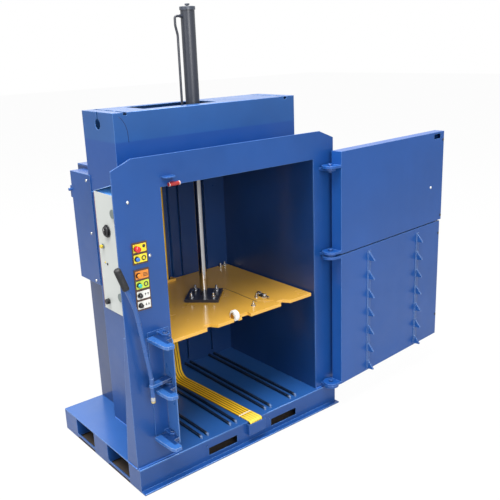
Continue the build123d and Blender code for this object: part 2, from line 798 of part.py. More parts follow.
with BuildPart() as pipe_fittings:
    with BuildSketch(Plane.YZ.offset(port_tip)) as port_end:
        with Locations((centre_y, port_z)):
            RegularPolygon(9.0, 6)
    extrude(port_end.sketch, until=Until.NEXT, target=cylinder_barrel.part)
    block(valve_left, centre_x - barrel_radius - 2, centre_y - valve_depth / 2, valve_back,
          flange_top, valve_top)
    with BuildSketch(Plane((valve_x, centre_y, valve_top))) as nut_face:
        RegularPolygon(9.0, 6)
    extrude(nut_face.sketch, amount=16)
    with BuildSketch(Plane.XZ.offset(-valve_back)) as supply_nut_face:
        with Locations((valve_x, supply_z)):
            RegularPolygon(12.0, 6)
    extrude(supply_nut_face.sketch, amount=-supply_nut)
finish(pipe_fittings, "pipe_fittings")

# Ejector strap: from its hook at the front, slightly aslant along the floor and up the back wall
strap_half = strap_thick / 2
strap_mid = deck_top + 1.5 + strap_half
strap_hook_y = -half_d - 14
strap_hook_z = deck_top - 36
strap_rise_y = back_inner - strap_rise_gap
strap_rear = back_inner - 10
strap_length = strap_rise_y - strap_hook_y
strap_slant = (strap_floor_x - strap_front_x) / strap_length
strap_points = [
    (strap_front_x, strap_hook_y, strap_hook_z),
    (strap_front_x, strap_hook_y, strap_mid),
    (strap_floor_x, strap_rise_y, strap_mid),
    (strap_back_x, strap_rear, platen_top - strap_join_drop),
    (strap_back_x, strap_rear, strap_top),
]
with BuildPart() as ejector_strap:
    with BuildLine() as strap_path:
        FilletPolyline(*strap_points, radius=[strap_hem_bend, strap_bend, strap_back_bend])
    with BuildSketch(Plane(strap_path.line @ 0, x_dir=(1, -strap_slant, 0), z_dir=strap_path.line % 0)):
        Rectangle(strap_width, strap_thick)
    sweep()
finish(ejector_strap, "ejector_strap")

strap_left = strap_front_x - strap_width / 2
strap_right = strap_front_x + strap_width / 2
anchor_left = strap_back_x - strap_width / 2 - 8
anchor_right = strap_back_x + strap_width / 2 + 8
anchor_drop = 34.0
anchor_rise = 20.0
with BuildPart() as strap_fixings:
    block(strap_left - 12, strap_right + 12, -half_d - 24, -half_d, deck_top - 62, deck_top - 6)
    block(strap_left - 6, strap_right + 6, -half_d - 19, -half_d + 1, deck_top - 56, deck_top,
          mode=Mode.SUBTRACT)
    fillet(strap_fixings.edges().filter_by(Axis.Z).group_by(Axis.Y)[0], radius=4.0)
    with BuildSketch(Plane.YZ.offset(strap_left - 6)) as strap_pin_end:
        with Locations((-half_d - 8.5, strap_hook_z + 6)):
            Circle(4.5)
    extrude(strap_pin_end.sketch, amount=strap_width + 12)
    block(anchor_left, anchor_right, strap_rear - strap_half - 5, back_inner,
          strap_top - anchor_drop, strap_top + anchor_rise)
    add(ejector_strap.part, mode=Mode.SUBTRACT)
finish(strap_fixings, "strap_fixings")

# Platen
notch_lines = [axis_x - tooth_inner_line, axis_x - tooth_outer_line]
roller_z = platen_top + roller_lift
roller_y = platen_front + roller_inset
latch_z = platen_top + latch_size / 2 + 2
ear_left = roller_centre_x + roller_width / 2 + 2
slot_front = strap_rear + 2 - strap_slot_depth
slot_left = strap_back_x - strap_width / 2 - strap_slot_gap
slot_right = strap_back_x + strap_width / 2 + strap_slot_gap
slot_rim = 12.0
slot_rim_height = 12.0
seam_front = latch_y - 28
seam_rear = centre_y + 42
seam_end = platen_front + notch_depth + 24
with BuildPart() as platen:
    block(platen_left, platen_right, platen_front, platen_rear, platen_low, platen_top)
    for notch_x in notch_lines:
        with BuildSketch(Plane.XY.offset(platen_low)) as notch:
            with BuildLine():
                Polyline(
                    (notch_x - notch_width / 2, platen_front - 1),
                    (notch_x - notch_width / 2, platen_front + notch_depth),
                    (notch_x + notch_width / 2 - notch_slope, platen_front + notch_depth),
                    (notch_x + notch_width / 2 + notch_slope, platen_front - 1),
                    close=True,
                )
            make_face()
        extrude(notch.sketch, amount=platen_thick, mode=Mode.SUBTRACT)
    block(strap_front_x - strap_notch_width / 2, strap_front_x + strap_notch_width / 2, platen_front - 1,
          platen_front + strap_notch_depth, platen_low - 1, platen_top + 1, mode=Mode.SUBTRACT)
    block(slot_left, slot_right, slot_front, platen_rear + 1, platen_low - 1, platen_top + 1,
          mode=Mode.SUBTRACT)
    for rim_start, rim_stop, rim_low, rim_high in (
        (slot_left - slot_rim, slot_left, slot_front - slot_rim, platen_rear),
        (slot_right, slot_right + slot_rim, slot_front - slot_rim, platen_rear),
        (slot_left, slot_right, slot_front - slot_rim, slot_front),
    ):
        block(rim_start, rim_stop, rim_low, rim_high, platen_top, platen_top + slot_rim_height)
    block(roller_centre_x - roller_width / 2 - 3, ear_left - 1, platen_front - 1,
          roller_y + roller_radius + 4, platen_low - 1, platen_top + 1, mode=Mode.SUBTRACT)
    block(ear_left, ear_left + ear_thick, platen_front, roller_y + roller_radius, platen_top,
          roller_z + 14)
    side_disc(ear_left + ear_thick + 1, roller_y, roller_z, roller_bolt_radius, ear_thick + 2,
              mode=Mode.SUBTRACT)
    with BuildSketch(Plane.XY.offset(platen_top - seam_depth)) as seam:
        with BuildLine():
            Polyline((seam_x - seam_width, seam_front), (seam_x, seam_rear), (seam_x + seam_width, seam_rear),
                     (seam_x, seam_front), (notch_lines[0] - notch_width / 2 + 1, seam_end),
                     (notch_lines[0] - notch_width / 2 + 1, seam_end - seam_width), close=True)
        make_face()
    extrude(seam.sketch, amount=seam_depth, mode=Mode.SUBTRACT)
finish(platen, "platen")

with BuildPart() as guide_roller:
    side_disc(roller_centre_x + roller_width / 2, roller_y, roller_z, roller_radius, roller_width)
    fillet(guide_roller.edges().filter_by(GeomType.CIRCLE), radius=4.0)
    side_disc(roller_centre_x + roller_width / 2 + 1, roller_y, roller_z,
              roller_bolt_radius + running_gap, roller_width + 2, mode=Mode.SUBTRACT)
finish(guide_roller, "guide_roller")

latch_rear = latch_y + latch_length / 2
with BuildPart() as latch_pin:
    front_disc(latch_x, latch_rear + 8, latch_z, latch_pin_radius, latch_length + 36)
    front_disc(latch_x, latch_rear + 16, latch_z, 9.5, 15.5)
    front_disc(latch_x, latch_y - latch_length / 2 + latch_wall + 4, latch_z, 6.5, 3.0)
finish(latch_pin, "latch_pin")

with BuildPart() as platen_bolts:
    block(latch_x - latch_size / 2, latch_x + latch_size / 2, latch_y - latch_length / 2, latch_rear,
          platen_top, platen_top + latch_wall)
    for ear_y in (latch_y - latch_length / 2, latch_rear - latch_wall):
        block(latch_x - latch_size / 2, latch_x + latch_size / 2, ear_y, ear_y + latch_wall,
              platen_top, platen_top + latch_size + 4)
    front_disc(latch_x, latch_rear + 1, latch_z, latch_pin_radius + running_gap, latch_length + 2,
               mode=Mode.SUBTRACT)
    for bolt_x, bolt_y, bolt_size in (
        (latch_x - 26, latch_rear - 4, 7.0),
        (latch_x - 111, platen_front + 68, 9.0),
        (platen_right - 56, platen_rear - 18, 8.0),
        (platen_right - 26, platen_rear - 18, 8.0),
    ):
        with BuildSketch(Plane((bolt_x, bolt_y, platen_top))) as washer:
            Circle(bolt_size + 3)
        extrude(washer.sketch, amount=3)
        with BuildSketch(Plane((bolt_x, bolt_y, platen_top + 3))) as hex_nut:
            RegularPolygon(bolt_size, 6)
        extrude(hex_nut.sketch, amount=9)
        upright_disc(bolt_x, bolt_y, platen_top + 12, bolt_size * 0.55, 10)
    bolt_tip = roller_centre_x - roller_width / 2 - 0.5
    side_disc(ear_left + ear_thick, roller_y, roller_z, roller_bolt_radius, ear_left + ear_thick - bolt_tip)
    with BuildSketch(Plane((bolt_tip, roller_y, roller_z), x_dir=(0, 1, 0), z_dir=(-1, 0, 0))) as head:
        RegularPolygon(12.0, 6)
    extrude(head.sketch, amount=5)
finish(platen_bolts, "platen_bolts")

with BuildPart() as rod_foot:
    with BuildSketch(Plane((centre_x, centre_y, platen_top))) as foot_face:
        Rectangle(foot_size, foot_size, rotation=45)
    extrude(foot_face.sketch, amount=foot_thick)
finish(rod_foot, "rod_foot")

with BuildPart() as foot_bolts:
    for turn in range(4):
        bolt_x = centre_x + foot_bolt_spread * cos(radians(90 * turn))
        bolt_y = centre_y + foot_bolt_spread * sin(radians(90 * turn))
        upright_disc(bolt_x, bolt_y, foot_top, 13.0, 3)
        with BuildSketch(Plane((bolt_x, bolt_y, foot_top + 3))) as hex_nut:
            RegularPolygon(10.5, 6)
        extrude(hex_nut.sketch, amount=10)
        upright_disc(bolt_x, bolt_y, foot_top + 13, 6.0, 14)
finish(foot_bolts, "foot_bolts")

with BuildPart() as piston_rod:
    upright_disc(centre_x, centre_y, foot_top, rod_radius, piston_low - foot_top)
    upright_disc(centre_x, centre_y, piston_low, piston_radius, piston_height)
finish(piston_rod, "piston_rod")

# Fixed hinge lugs and pins on the front frame
top_hinge_z = 1262.0
middle_hinge_z = (upper_door_low + lower_door_high) / 2 - hinge_lug_thick / 2 + 1
bottom_hinge_z = lower_door_low - hinge_lug_thick - hinge_gap


def frame_lug(level, radius):
    """A level lug plate that spreads from the hinge axis to the frame's face."""
    with BuildSketch(Plane.XY.offset(level)) as lug:
        with BuildLine():
            Polyline((axis_x - radius, axis_y), (axis_x - hinge_lug_radius, front_y),
                     (frame_right - lug_edge_gap, front_y),
                     (axis_x + radius * cos(radians(lug_flank)), axis_y + radius * sin(radians(lug_flank))),
                     close=True)
        make_face()
        with Locations((axis_x, axis_y)):
            Circle(radius)
            Circle(hinge_pin_radius, mode=Mode.SUBTRACT)
    extrude(lug.sketch, amount=hinge_lug_thick)


def lock_lug(level):
    """A level bearing lug above a hook, from the frame's face to the lock's axis."""
    with BuildSketch(Plane.XY.offset(level + hook_thick + lock_play)) as lug:
        with Locations((lock_x, (front_y + lock_y) / 2)):
            Rectangle(2 * lock_lug_radius, front_y - lock_y)
        with Locations((lock_x, lock_y)):
            Circle(lock_lug_radius)
            Circle(lock_pin_radius + running_gap, mode=Mode.SUBTRACT)
    extrude(lug.sketch, amount=lock_lug_thick)


with BuildPart() as frame_lugs:
    frame_lug(top_hinge_z, hinge_lug_radius)
    frame_lug(middle_hinge_z, hinge_lug_radius)
    frame_lug(bottom_hinge_z, door_lug_radius)
    for level in hook_levels:
        lock_lug(level)
    block(lock_x - lock_plate_left, lock_x + lock_plate_right, front_y - lock_plate_sheet, front_y,
          lock_bar_low, lock_bar_high + lock_play + hook_thick + lock_lug_thick)
finish(frame_lugs, "frame_lugs")

upper_lug_low = top_hinge_z + hinge_lug_thick + hinge_gap
upper_foot_low = middle_hinge_z + hinge_lug_thick + hinge_gap
lower_head_low = middle_hinge_z - hinge_gap - hinge_lug_thick
lower_foot_low = bottom_hinge_z + hinge_lug_thick + hinge_gap
with BuildPart() as hinge_pins:
    for low, high in (
        (top_hinge_z - 10, upper_lug_low + hinge_lug_thick + 1),
        (lower_head_low - 6, upper_foot_low + hinge_lug_thick + 3),
        (bottom_hinge_z - 6, lower_foot_low + hinge_lug_thick + 3),
    ):
        upright_disc(axis_x, axis_y, low, hinge_pin_radius, high - low)
        upright_disc(axis_x, axis_y, high, hinge_pin_radius + 4, 8)
    fillet(hinge_pins.edges().filter_by(GeomType.CIRCLE).filter_by(
        lambda edge: abs(edge.radius - hinge_pin_radius - 4) < 0.1).group_by(Axis.Z)[-1], radius=5.0)
finish(hinge_pins, "hinge_pins")

inner_face = -door_inner_offset
outer_face = door_thick - door_inner_offset


def door_block(u0, u1, v0, v1, z0, z1, mode=Mode.ADD):
    """A block in the open door's own frame: u runs along the door, v to its outside."""
    with BuildSketch(door_plane.offset(z0)) as outline:
        with Locations(((u0 + u1) / 2, (v0 + v1) / 2)):
            Rectangle(u1 - u0, v1 - v0)
    extrude(outline.sketch, amount=z1 - z0, mode=mode)


def door_lug(level):
    """A level lug that spreads from the hinge axis over the whole edge of the door."""
    with BuildSketch(door_plane.offset(level)) as lug:
        Circle(door_lug_radius)
        with Locations((door_start + 1 + door_lug_radius, 0)):
            Rectangle(2 * door_lug_radius, 3 * door_lug_radius, mode=Mode.SUBTRACT)
        with BuildLine():
            Polyline((0, -door_lug_radius), (door_start + 1, inner_face), (door_start + 1, outer_face),
                     (0, outer_face), close=True)
        make_face()
        Circle(hinge_pin_radius + running_gap, mode=Mode.SUBTRACT)
    extrude(lug.sketch, amount=hinge_lug_thick)


def door_pan(end, low, high):
    """The door's folded pan: inner sheet, four flanges and two level ribs inside."""
    door_block(door_start, end, inner_face, outer_face, low, high)
    door_block(door_start + door_sheet, end - door_sheet, inner_face + door_sheet, outer_face + 1,
               low + door_sheet, high - door_sheet, mode=Mode.SUBTRACT)
    for share in (1 / 3, 2 / 3):
        level = low + (high - low) * share
        door_block(door_start + door_sheet, end - door_sheet, inner_face + door_sheet,
                   outer_face - door_skin, level - door_rib_width / 2, level + door_rib_width / 2)
        door_block(door_start + door_sheet, end - door_sheet, inner_face + door_sheet,
                   outer_face - door_skin - door_rib_sheet, level - door_rib_width / 2 + door_rib_sheet,
                   level + door_rib_width / 2 - door_rib_sheet, mode=Mode.SUBTRACT)


with BuildPart() as upper_door:
    door_pan(upper_door_end, upper_door_low, upper_door_high)
    door_lug(upper_lug_low)
    door_lug(upper_foot_low)
    door_block(axis_x - switch_x - switch_length - switch_gap, axis_x - switch_x + switch_gap,
               inner_face - 1, inner_face + door_sheet + 1,
               switch_z - switch_radius - switch_gap, switch_z + switch_radius + switch_gap,
               mode=Mode.SUBTRACT)
    for level in (upper_door_high - 50, upper_door_low + 20):
        door_block(upper_door_end - door_sheet - 1, upper_door_end + 1, inner_face + 8, inner_face + 22,
                   level - 12, level + 12, mode=Mode.SUBTRACT)
finish(upper_door, "upper_door")

with BuildPart() as upper_door_skin:
    door_block(door_start + door_sheet, upper_door_end - door_sheet, outer_face - door_skin, outer_face,
               upper_door_low + door_sheet, upper_door_high - door_sheet)
finish(upper_door_skin, "upper_door_skin")

with BuildPart() as lower_door:
    door_pan(lower_door_end, lower_door_low, lower_door_high)
    door_lug(lower_head_low)
    door_lug(lower_foot_low)
    for level in (lower_door_high - 75, lower_door_low + 73):
        door_block(lower_door_end - door_sheet - 1, lower_door_end + 1, inner_face + 8, inner_face + 22,
                   level - 12, level + 12, mode=Mode.SUBTRACT)
finish(lower_door, "lower_door")

with BuildPart() as lower_door_skin:
    door_block(door_start + door_sheet, lower_door_end - door_sheet, outer_face - door_skin, outer_face,
               lower_door_low + door_sheet, lower_door_high - door_sheet)
finish(lower_door_skin, "lower_door_skin")

# Two columns of barbs that hold the bale down when the platen lifts
tooth_side = Plane(
    origin=(axis_x, axis_y, 0),
    x_dir=(-sin(radians(door_open_angle)), cos(radians(door_open_angle)), 0),
    z_dir=(cos(radians(door_open_angle)), sin(radians(door_open_angle)), 0),
)
first_tooth = lower_door_high - tooth_top_gap
last_tooth = first_tooth - (tooth_count - 1) * tooth_pitch
with BuildPart() as door_teeth:
    for line_u in (tooth_inner_line, tooth_outer_line):
        strip_face = inner_face - tooth_strip_thick
        door_block(line_u - tooth_strip_width / 2, line_u + tooth_strip_width / 2, strip_face,
                   inner_face, last_tooth - tooth_height - 3, first_tooth + 4)
        for step in range(tooth_count):
            peak = first_tooth - step * tooth_pitch
            with BuildSketch(tooth_side.offset(line_u - tooth_thick / 2)) as tooth:
                with BuildLine():
                    Polyline((strip_face, peak), (inner_face - tooth_reach, peak - tooth_height + 8),
                             (inner_face - tooth_reach, peak - tooth_height + 4),
                             (strip_face, peak - tooth_height), close=True)
                make_face()
            extrude(tooth.sketch, amount=tooth_thick)
finish(door_teeth, "door_teeth")

# Door lock: an upright bar on three hooks that turn in the frame's lugs, with a hand lever
station_height = hook_thick + lock_lug_thick + 2 * lock_play + lock_head_height
bar_left = lock_x + lock_bar_shift - lock_bar_thick / 2
notch_front = lock_y - lock_eye_radius - 1
with BuildPart() as lock_bar:
    block(bar_left, bar_left + lock_bar_thick, lock_y - lock_bar_front, lock_y + lock_bar_rear,
          lock_bar_low, lock_bar_high)
    for level in hook_levels:
        block(bar_left - 1, bar_left + lock_bar_thick + 1, notch_front, lock_y + lock_bar_rear + 1,
              level, level + station_height, mode=Mode.SUBTRACT)
    block(bar_left - 1, bar_left + lock_bar_thick + 1, notch_front, lock_y + lock_bar_rear + 1,
          arm_level, arm_level + arm_thick, mode=Mode.SUBTRACT)
    fillet(lock_bar.edges().filter_by(Axis.X).group_by(Axis.Y)[0], radius=6.0)
finish(lock_bar, "lock_bar")

pivot_x = lock_x - arm_reach
pivot_y = lock_y - arm_forward
hook_outline = [
    (lock_x, lock_y + lock_eye_radius),
    (lock_x - 27, lock_y + lock_bar_rear),
    (lock_x - 77, lock_y + 24),
    (lock_x - 77, lock_y - 8),
    (lock_x - 74, lock_y - 60),
    (lock_x - 71, lock_y - 100),
    (lock_x - 60, lock_y - 116),
    (lock_x - 32, lock_y - 118),
    (lock_x - 27, lock_y - 108),
    (lock_x - 27, lock_y - 51),
    (bar_left, lock_y - lock_bar_front),
    (bar_left, lock_y - lock_eye_radius),
    (lock_x, lock_y - lock_eye_radius),
]
with BuildPart() as lock_hooks:
    for level in hook_levels:
        with BuildSketch(Plane.XY.offset(level)) as hook:
            with BuildLine():
                Polyline(*hook_outline, close=True)
            make_face()
            with Locations((lock_x, lock_y)):
                Circle(lock_eye_radius)
        extrude(hook.sketch, amount=hook_thick)
        pin_top = level + hook_thick + lock_lug_thick + 2 * lock_play
        upright_disc(lock_x, lock_y, level, lock_pin_radius, pin_top - level)
        upright_disc(lock_x, lock_y, pin_top, lock_head_radius, lock_head_height)
    with BuildSketch(Plane.XY.offset(arm_level)) as arm:
        with Locations((lock_x, lock_y)):
            Circle(lock_eye_radius)
        with BuildLine():
            Polyline((lock_x, lock_y - lock_eye_radius), (pivot_x, pivot_y - arm_tip_radius),
                     (pivot_x, pivot_y + arm_tip_radius), (lock_x, lock_y + lock_eye_radius), close=True)
        make_face()
        with Locations((pivot_x, pivot_y)):
            Circle(arm_tip_radius)
            Circle(lever_bolt_radius, mode=Mode.SUBTRACT)
    extrude(arm.sketch, amount=arm_thick)
finish(lock_hooks, "lock_hooks")

bolt_low = arm_level - lever_head_drop
with BuildPart() as lever_pin:
    upright_disc(pivot_x, pivot_y, bolt_low, lever_bolt_radius, arm_level + arm_thick - bolt_low)
    upright_disc(pivot_x, pivot_y, bolt_low, lever_head_radius, lever_head_drop - lever_sleeve_drop)
    fillet(lever_pin.edges().filter_by(GeomType.CIRCLE).sort_by(Axis.Z)[0], radius=8.0)
finish(lever_pin, "lever_pin")

sleeve_top = arm_level + arm_thick + 24
bend_x = pivot_x - lever_bend_high * tan(radians(lever_bend_lean))
tip_x = bend_x - (lever_length - lever_bend_high) * tan(radians(lever_lean))
lever_points = [
    (pivot_x, pivot_y, sleeve_top),
    (bend_x, pivot_y, sleeve_top + lever_bend_high),
    (tip_x, pivot_y, sleeve_top + lever_length),
]
grip_plane = Plane(
    origin=lever_points[-1],
    x_dir=(0, 1, 0),
    z_dir=(sin(radians(lever_lean)), 0, -cos(radians(lever_lean))),
)
with BuildPart() as lock_lever:
    with BuildLine() as lever_path:
        FilletPolyline(*lever_points, radius=lever_bend_radius)
    with BuildSketch(Plane(lever_path.line @ 0, z_dir=lever_path.line % 0)):
        Circle(lever_radius)
    sweep()
    upright_disc(pivot_x, pivot_y, arm_level + arm_thick, lever_sleeve_radius, 28)
    upright_disc(pivot_x, pivot_y, arm_level - lever_sleeve_drop, lever_sleeve_radius, lever_sleeve_drop)
    upright_disc(pivot_x, pivot_y, arm_level - lever_sleeve_drop - 1, lever_bolt_radius,
                 lever_sleeve_drop + 1, mode=Mode.SUBTRACT)
finish(lock_lever, "lock_lever")

with BuildPart() as lever_grip:
    with BuildSketch(grip_plane.offset(-grip_end)) as grip_section:
        Circle(grip_radius)
    extrude(grip_section.sketch, amount=grip_length)
    fillet(lever_grip.edges().filter_by(GeomType.CIRCLE), radius=5.0)
    with BuildSketch(grip_plane) as grip_bore:
        Circle(lever_radius)
    extrude(grip_bore.sketch, amount=grip_length + 8, mode=Mode.SUBTRACT)
finish(lever_grip, "lever_grip")

# Button stations on the left column
station_face = front_y - station_thick
legend_face = station_face - legend_thick
bezel_face = legend_face - bezel_height


def station(levels):
    """A thin backing plate behind a column of buttons, with a hole for each stem."""
    block(station_x - station_width / 2, station_x + station_width / 2, station_face, front_y,
          levels[-1] - legend_height / 2 - 4, levels[0] + legend_height / 2 + 4)
    for level in levels:
        front_disc(button_x, front_y + 1, level, stem_radius + running_gap, station_thick + 2,
                   mode=Mode.SUBTRACT)


with BuildPart() as station_plates:
    station(upper_levels)
    station(lower_levels)
finish(station_plates, "station_plates")

with BuildPart() as legend_plates:
    for level in upper_levels + lower_levels:
        block(station_x - legend_width / 2, station_x + legend_width / 2, legend_face, station_face,
              level - legend_height / 2 + 1, level + legend_height / 2 - 1)
        front_disc(button_x, front_y, level, stem_radius + running_gap, station_thick + legend_thick + 1,
                   mode=Mode.SUBTRACT)
finish(legend_plates, "legend_plates")

with BuildPart() as button_bezels:
    for level in upper_levels + lower_levels:
        front_disc(button_x, legend_face, level, bezel_radius, bezel_height)
        front_disc(button_x, legend_face + 1, level, stem_radius + running_gap, bezel_height + 2,
                   mode=Mode.SUBTRACT)
finish(button_bezels, "button_bezels")


def push_button(level, radius, height):
    """A button head on a stem that slides through its bezel."""
    front_disc(button_x, bezel_face - 4, level, radius, height)
    front_disc(button_x, plate_back + stem_length, level, stem_radius,
               plate_back + stem_length - bezel_face + 5)


for button_name, button_level in (
    ("reset_button", reset_level),
    ("amber_button", amber_level),
    ("teal_button", teal_level),
    ("down_button", down_level),
    ("up_button", up_level),
):
    with BuildPart() as button:
        push_button(button_level, button_radius, button_height)
        fillet(button.edges().filter_by(GeomType.CIRCLE).sort_by(Axis.Y)[0], radius=2.5)
    finish(button, button_name)

with BuildPart() as stop_button:
    push_button(stop_level, stop_radius, stop_height)
    fillet(stop_button.edges().filter_by(GeomType.CIRCLE).sort_by(Axis.Y)[0], radius=6.0)
finish(stop_button, "stop_button")

# Safety actuator; the closed upper door takes it in through its inner sheet at the opening's upper left corner
with BuildPart() as switch_bracket:
    block(opening_left + 4, opening_left + 4 + bracket_length, front_y - bracket_depth, front_y,
          upper_door_high + 4, upper_door_high + 4 + bracket_thick)
    fillet(switch_bracket.edges().filter_by(Axis.Z).group_by(Axis.Y)[0], radius=12.0)
finish(switch_bracket, "switch_bracket")

with BuildPart() as safety_switch:
    block(switch_x + 20, switch_x + 38, switch_y, front_y, switch_z - 6, switch_z + 6)
    with BuildSketch(Plane.YZ.offset(switch_x)) as switch_end:
        with Locations((switch_y, switch_z)):
            Circle(switch_radius)
    extrude(switch_end.sketch, amount=switch_length)
finish(safety_switch, "safety_switch")
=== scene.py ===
import math
import bmesh
import bpy
from mathutils import Matrix, Vector


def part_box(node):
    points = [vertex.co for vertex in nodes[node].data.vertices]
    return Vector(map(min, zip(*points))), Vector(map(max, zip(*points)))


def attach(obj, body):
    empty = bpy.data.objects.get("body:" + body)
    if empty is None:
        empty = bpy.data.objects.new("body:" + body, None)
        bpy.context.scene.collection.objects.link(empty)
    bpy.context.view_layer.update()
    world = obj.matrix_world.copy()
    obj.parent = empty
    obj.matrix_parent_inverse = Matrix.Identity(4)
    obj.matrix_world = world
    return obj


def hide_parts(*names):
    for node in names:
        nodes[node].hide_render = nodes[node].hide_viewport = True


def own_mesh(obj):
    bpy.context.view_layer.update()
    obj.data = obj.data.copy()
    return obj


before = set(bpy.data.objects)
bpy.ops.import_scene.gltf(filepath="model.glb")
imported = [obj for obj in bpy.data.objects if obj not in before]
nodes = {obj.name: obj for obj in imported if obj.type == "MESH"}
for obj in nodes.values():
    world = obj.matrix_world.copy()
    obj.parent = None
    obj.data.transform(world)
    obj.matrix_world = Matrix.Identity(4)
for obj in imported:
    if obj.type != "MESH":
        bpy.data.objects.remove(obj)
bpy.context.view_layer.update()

# The body that carries whatever doesn't move. All lengths in this file are metres.
ROOT = "machine_frame"


# Colours and shader helpers
def srgb(r, g, b):
    """An 8-bit colour as the linear colour that the shader wants."""
    def one(c):
        c = c / 255
        return c / 12.92 if c <= 0.04045 else ((c + 0.055) / 1.055) ** 2.4
    return (one(r), one(g), one(b), 1.0)


def grey(v):
    return (v, v, v, 1.0)


def tone(colour, factor):
    """The colour made lighter or darker by a factor."""
    return tuple(min(1, c * factor) for c in colour[:3]) + (1.0,)


class Shader:
    """A material under construction, with short calls for its nodes."""

    def __init__(self, name):
        self.material = bpy.data.materials.new(name)
        self.material.use_nodes = True
        self.tree = self.material.node_tree
        self.bsdf = self.tree.nodes["Principled BSDF"]
        self.coords = self.tree.nodes.new("ShaderNodeTexCoord")

    def add(self, kind, **settings):
        made = self.tree.nodes.new(kind)
        for key, value in settings.items():
            setattr(made, key, value)
        return made

    def link(self, a, b):
        self.tree.links.new(a, b)

    def feed(self, slot, value):
        """Put a socket's output or a plain value into a slot."""
        if isinstance(value, bpy.types.NodeSocket):
            self.link(value, slot)
        else:
            slot.default_value = value

    def split(self, vector):
        """The X, Y and Z sockets of a vector."""
        made = self.add("ShaderNodeSeparateXYZ")
        self.link(vector, made.inputs[0])
        return made.outputs

    def place(self):
        """Where the point is on the machine, as X, Y and Z sockets."""
        return self.split(self.coords.outputs["Object"])

    def noise(self, scale, detail=3.0, rough=0.5, stretch=(1, 1, 1)):
        mapping = self.add("ShaderNodeMapping")
        mapping.inputs["Scale"].default_value = stretch
        self.link(self.coords.outputs["Object"], mapping.inputs["Vector"])
        made = self.add("ShaderNodeTexNoise")
        made.inputs["Scale"].default_value = scale
        made.inputs["Detail"].default_value = detail
        made.inputs["Roughness"].default_value = rough
        self.link(mapping.outputs["Vector"], made.inputs["Vector"])
        return made.outputs["Fac"]

    def ramp(self, value, stops, smooth=False):
        made = self.add("ShaderNodeValToRGB")
        made.color_ramp.interpolation = "EASE" if smooth else "LINEAR"
        ends = made.color_ramp.elements[0], made.color_ramp.elements[1]
        for end, (place, colour) in zip(ends, (stops[0], stops[-1])):
            end.position = place
            end.color = colour
        for place, colour in stops[1:-1]:
            made.color_ramp.elements.new(place).color = colour
        self.link(value, made.inputs["Fac"])
        return made.outputs["Color"]

    def mix(self, share, a, b):
        made = self.add("ShaderNodeMix", data_type="RGBA", blend_type="MIX")
        for index, value in ((0, share), (6, a), (7, b)):
            self.feed(made.inputs[index], value)
        return made.outputs[2]

    def math(self, how, a, b=0.0, clamp=False):
        made = self.add("ShaderNodeMath", operation=how, use_clamp=clamp)
        self.feed(made.inputs[0], a)
        self.feed(made.inputs[1], b)
        return made.outputs[0]

    def bump(self, height, strength, distance, normal=None):
        made = self.add("ShaderNodeBump")
        made.inputs["Strength"].default_value = strength
        made.inputs["Distance"].default_value = distance
        self.link(height, made.inputs["Height"])
        if normal is not None:
            self.link(normal, made.inputs["Normal"])
        return made.outputs["Normal"]

    def rounded(self, radius):
        """The normal of softly rounded edges."""
        bevel = self.add("ShaderNodeBevel", samples=4)
        bevel.inputs["Radius"].default_value = radius
        return bevel.outputs["Normal"]

    def edge_share(self, normal):
        """How much a rounded normal differs from the flat one: high on an edge."""
        flat = self.add("ShaderNodeNewGeometry")
        dot = self.add("ShaderNodeVectorMath", operation="DOT_PRODUCT")
        self.link(normal, dot.inputs[0])
        self.link(flat.outputs["Normal"], dot.inputs[1])
        return self.math("SUBTRACT", 1.0, dot.outputs["Value"], clamp=True)


# Materials
BLEND_PER_METRE = {"inner": 160.0, "band": 140.0}   # how fast one colour goes over into another
EDGE_HIGHLIGHT_SHARE = 0.75                                   # how much of the painted edge highlight shows on an edge


def paint(name, colour, rough=0.32, edge_highlight=None, edge_radius=0.0022, coat=0.35,
          cloud=0.10, streak=0.0, peel=0.05, inner=None, band=None):
    """Glossy sheet-metal paint: slow colour drift, fine orange peel, and rounded edges with a
    lighter edge colour mixed in as a painted highlight.

    inner is (x, y, colour): beyond that x and y the paint has the other colour, a painted shade.
    band is (z, colour): under that height the paint has the other colour.
    """
    s = Shader(name)
    drift = s.ramp(s.noise(2.4, 4.0, 0.55),
                   [(0.3, tone(colour, 1 - cloud)), (0.7, tone(colour, 1 + cloud))], True)
    if streak:
        lines = s.ramp(s.noise(1.0, 3.0, 0.6, (14, 14, 0.5)),
                       [(0.46, grey(0.0)), (0.72, grey(streak))])
        drift = s.mix(lines, drift, tone(colour, 1.35))
    # Beyond the given x and y the colour turns to the other one: a painted shade.
    if inner:
        x, y, other = inner
        place, slope = s.place(), BLEND_PER_METRE["inner"]
        far_x = s.math("MULTIPLY", s.math("SUBTRACT", place["X"], x), slope, True)
        far_y = s.math("MULTIPLY", s.math("SUBTRACT", place["Y"], y), slope, True)
        drift = s.mix(s.math("MULTIPLY", far_x, far_y), drift, other)
    if band:
        z, other = band
        under = s.math("SUBTRACT", z, s.place()["Z"])
        drift = s.mix(s.math("MULTIPLY", under, BLEND_PER_METRE["band"], True), drift, other)
    normal = s.rounded(edge_radius)
    # Edges are mixed towards the lighter edge colour: a painted highlight.
    if edge_highlight:
        edge = s.ramp(s.edge_share(normal), [(0.02, grey(0.0)), (0.2, grey(1.0))])
        drift = s.mix(s.math("MULTIPLY", edge, EDGE_HIGHLIGHT_SHARE), drift, edge_highlight)
    s.link(drift, s.bsdf.inputs["Base Color"])
    gloss = s.ramp(s.noise(9.0, 4.0, 0.6),
                   [(0.25, grey(rough * 0.8)), (0.8, grey(min(1, rough * 1.25)))])
    s.link(gloss, s.bsdf.inputs["Roughness"])
    s.bsdf.inputs["Coat Weight"].default_value = coat
    s.bsdf.inputs["Coat Roughness"].default_value = 0.12
    s.link(s.bump(s.noise(420.0, 2.0, 0.5), peel, 0.0006, normal), s.bsdf.inputs["Normal"])
    return s.material


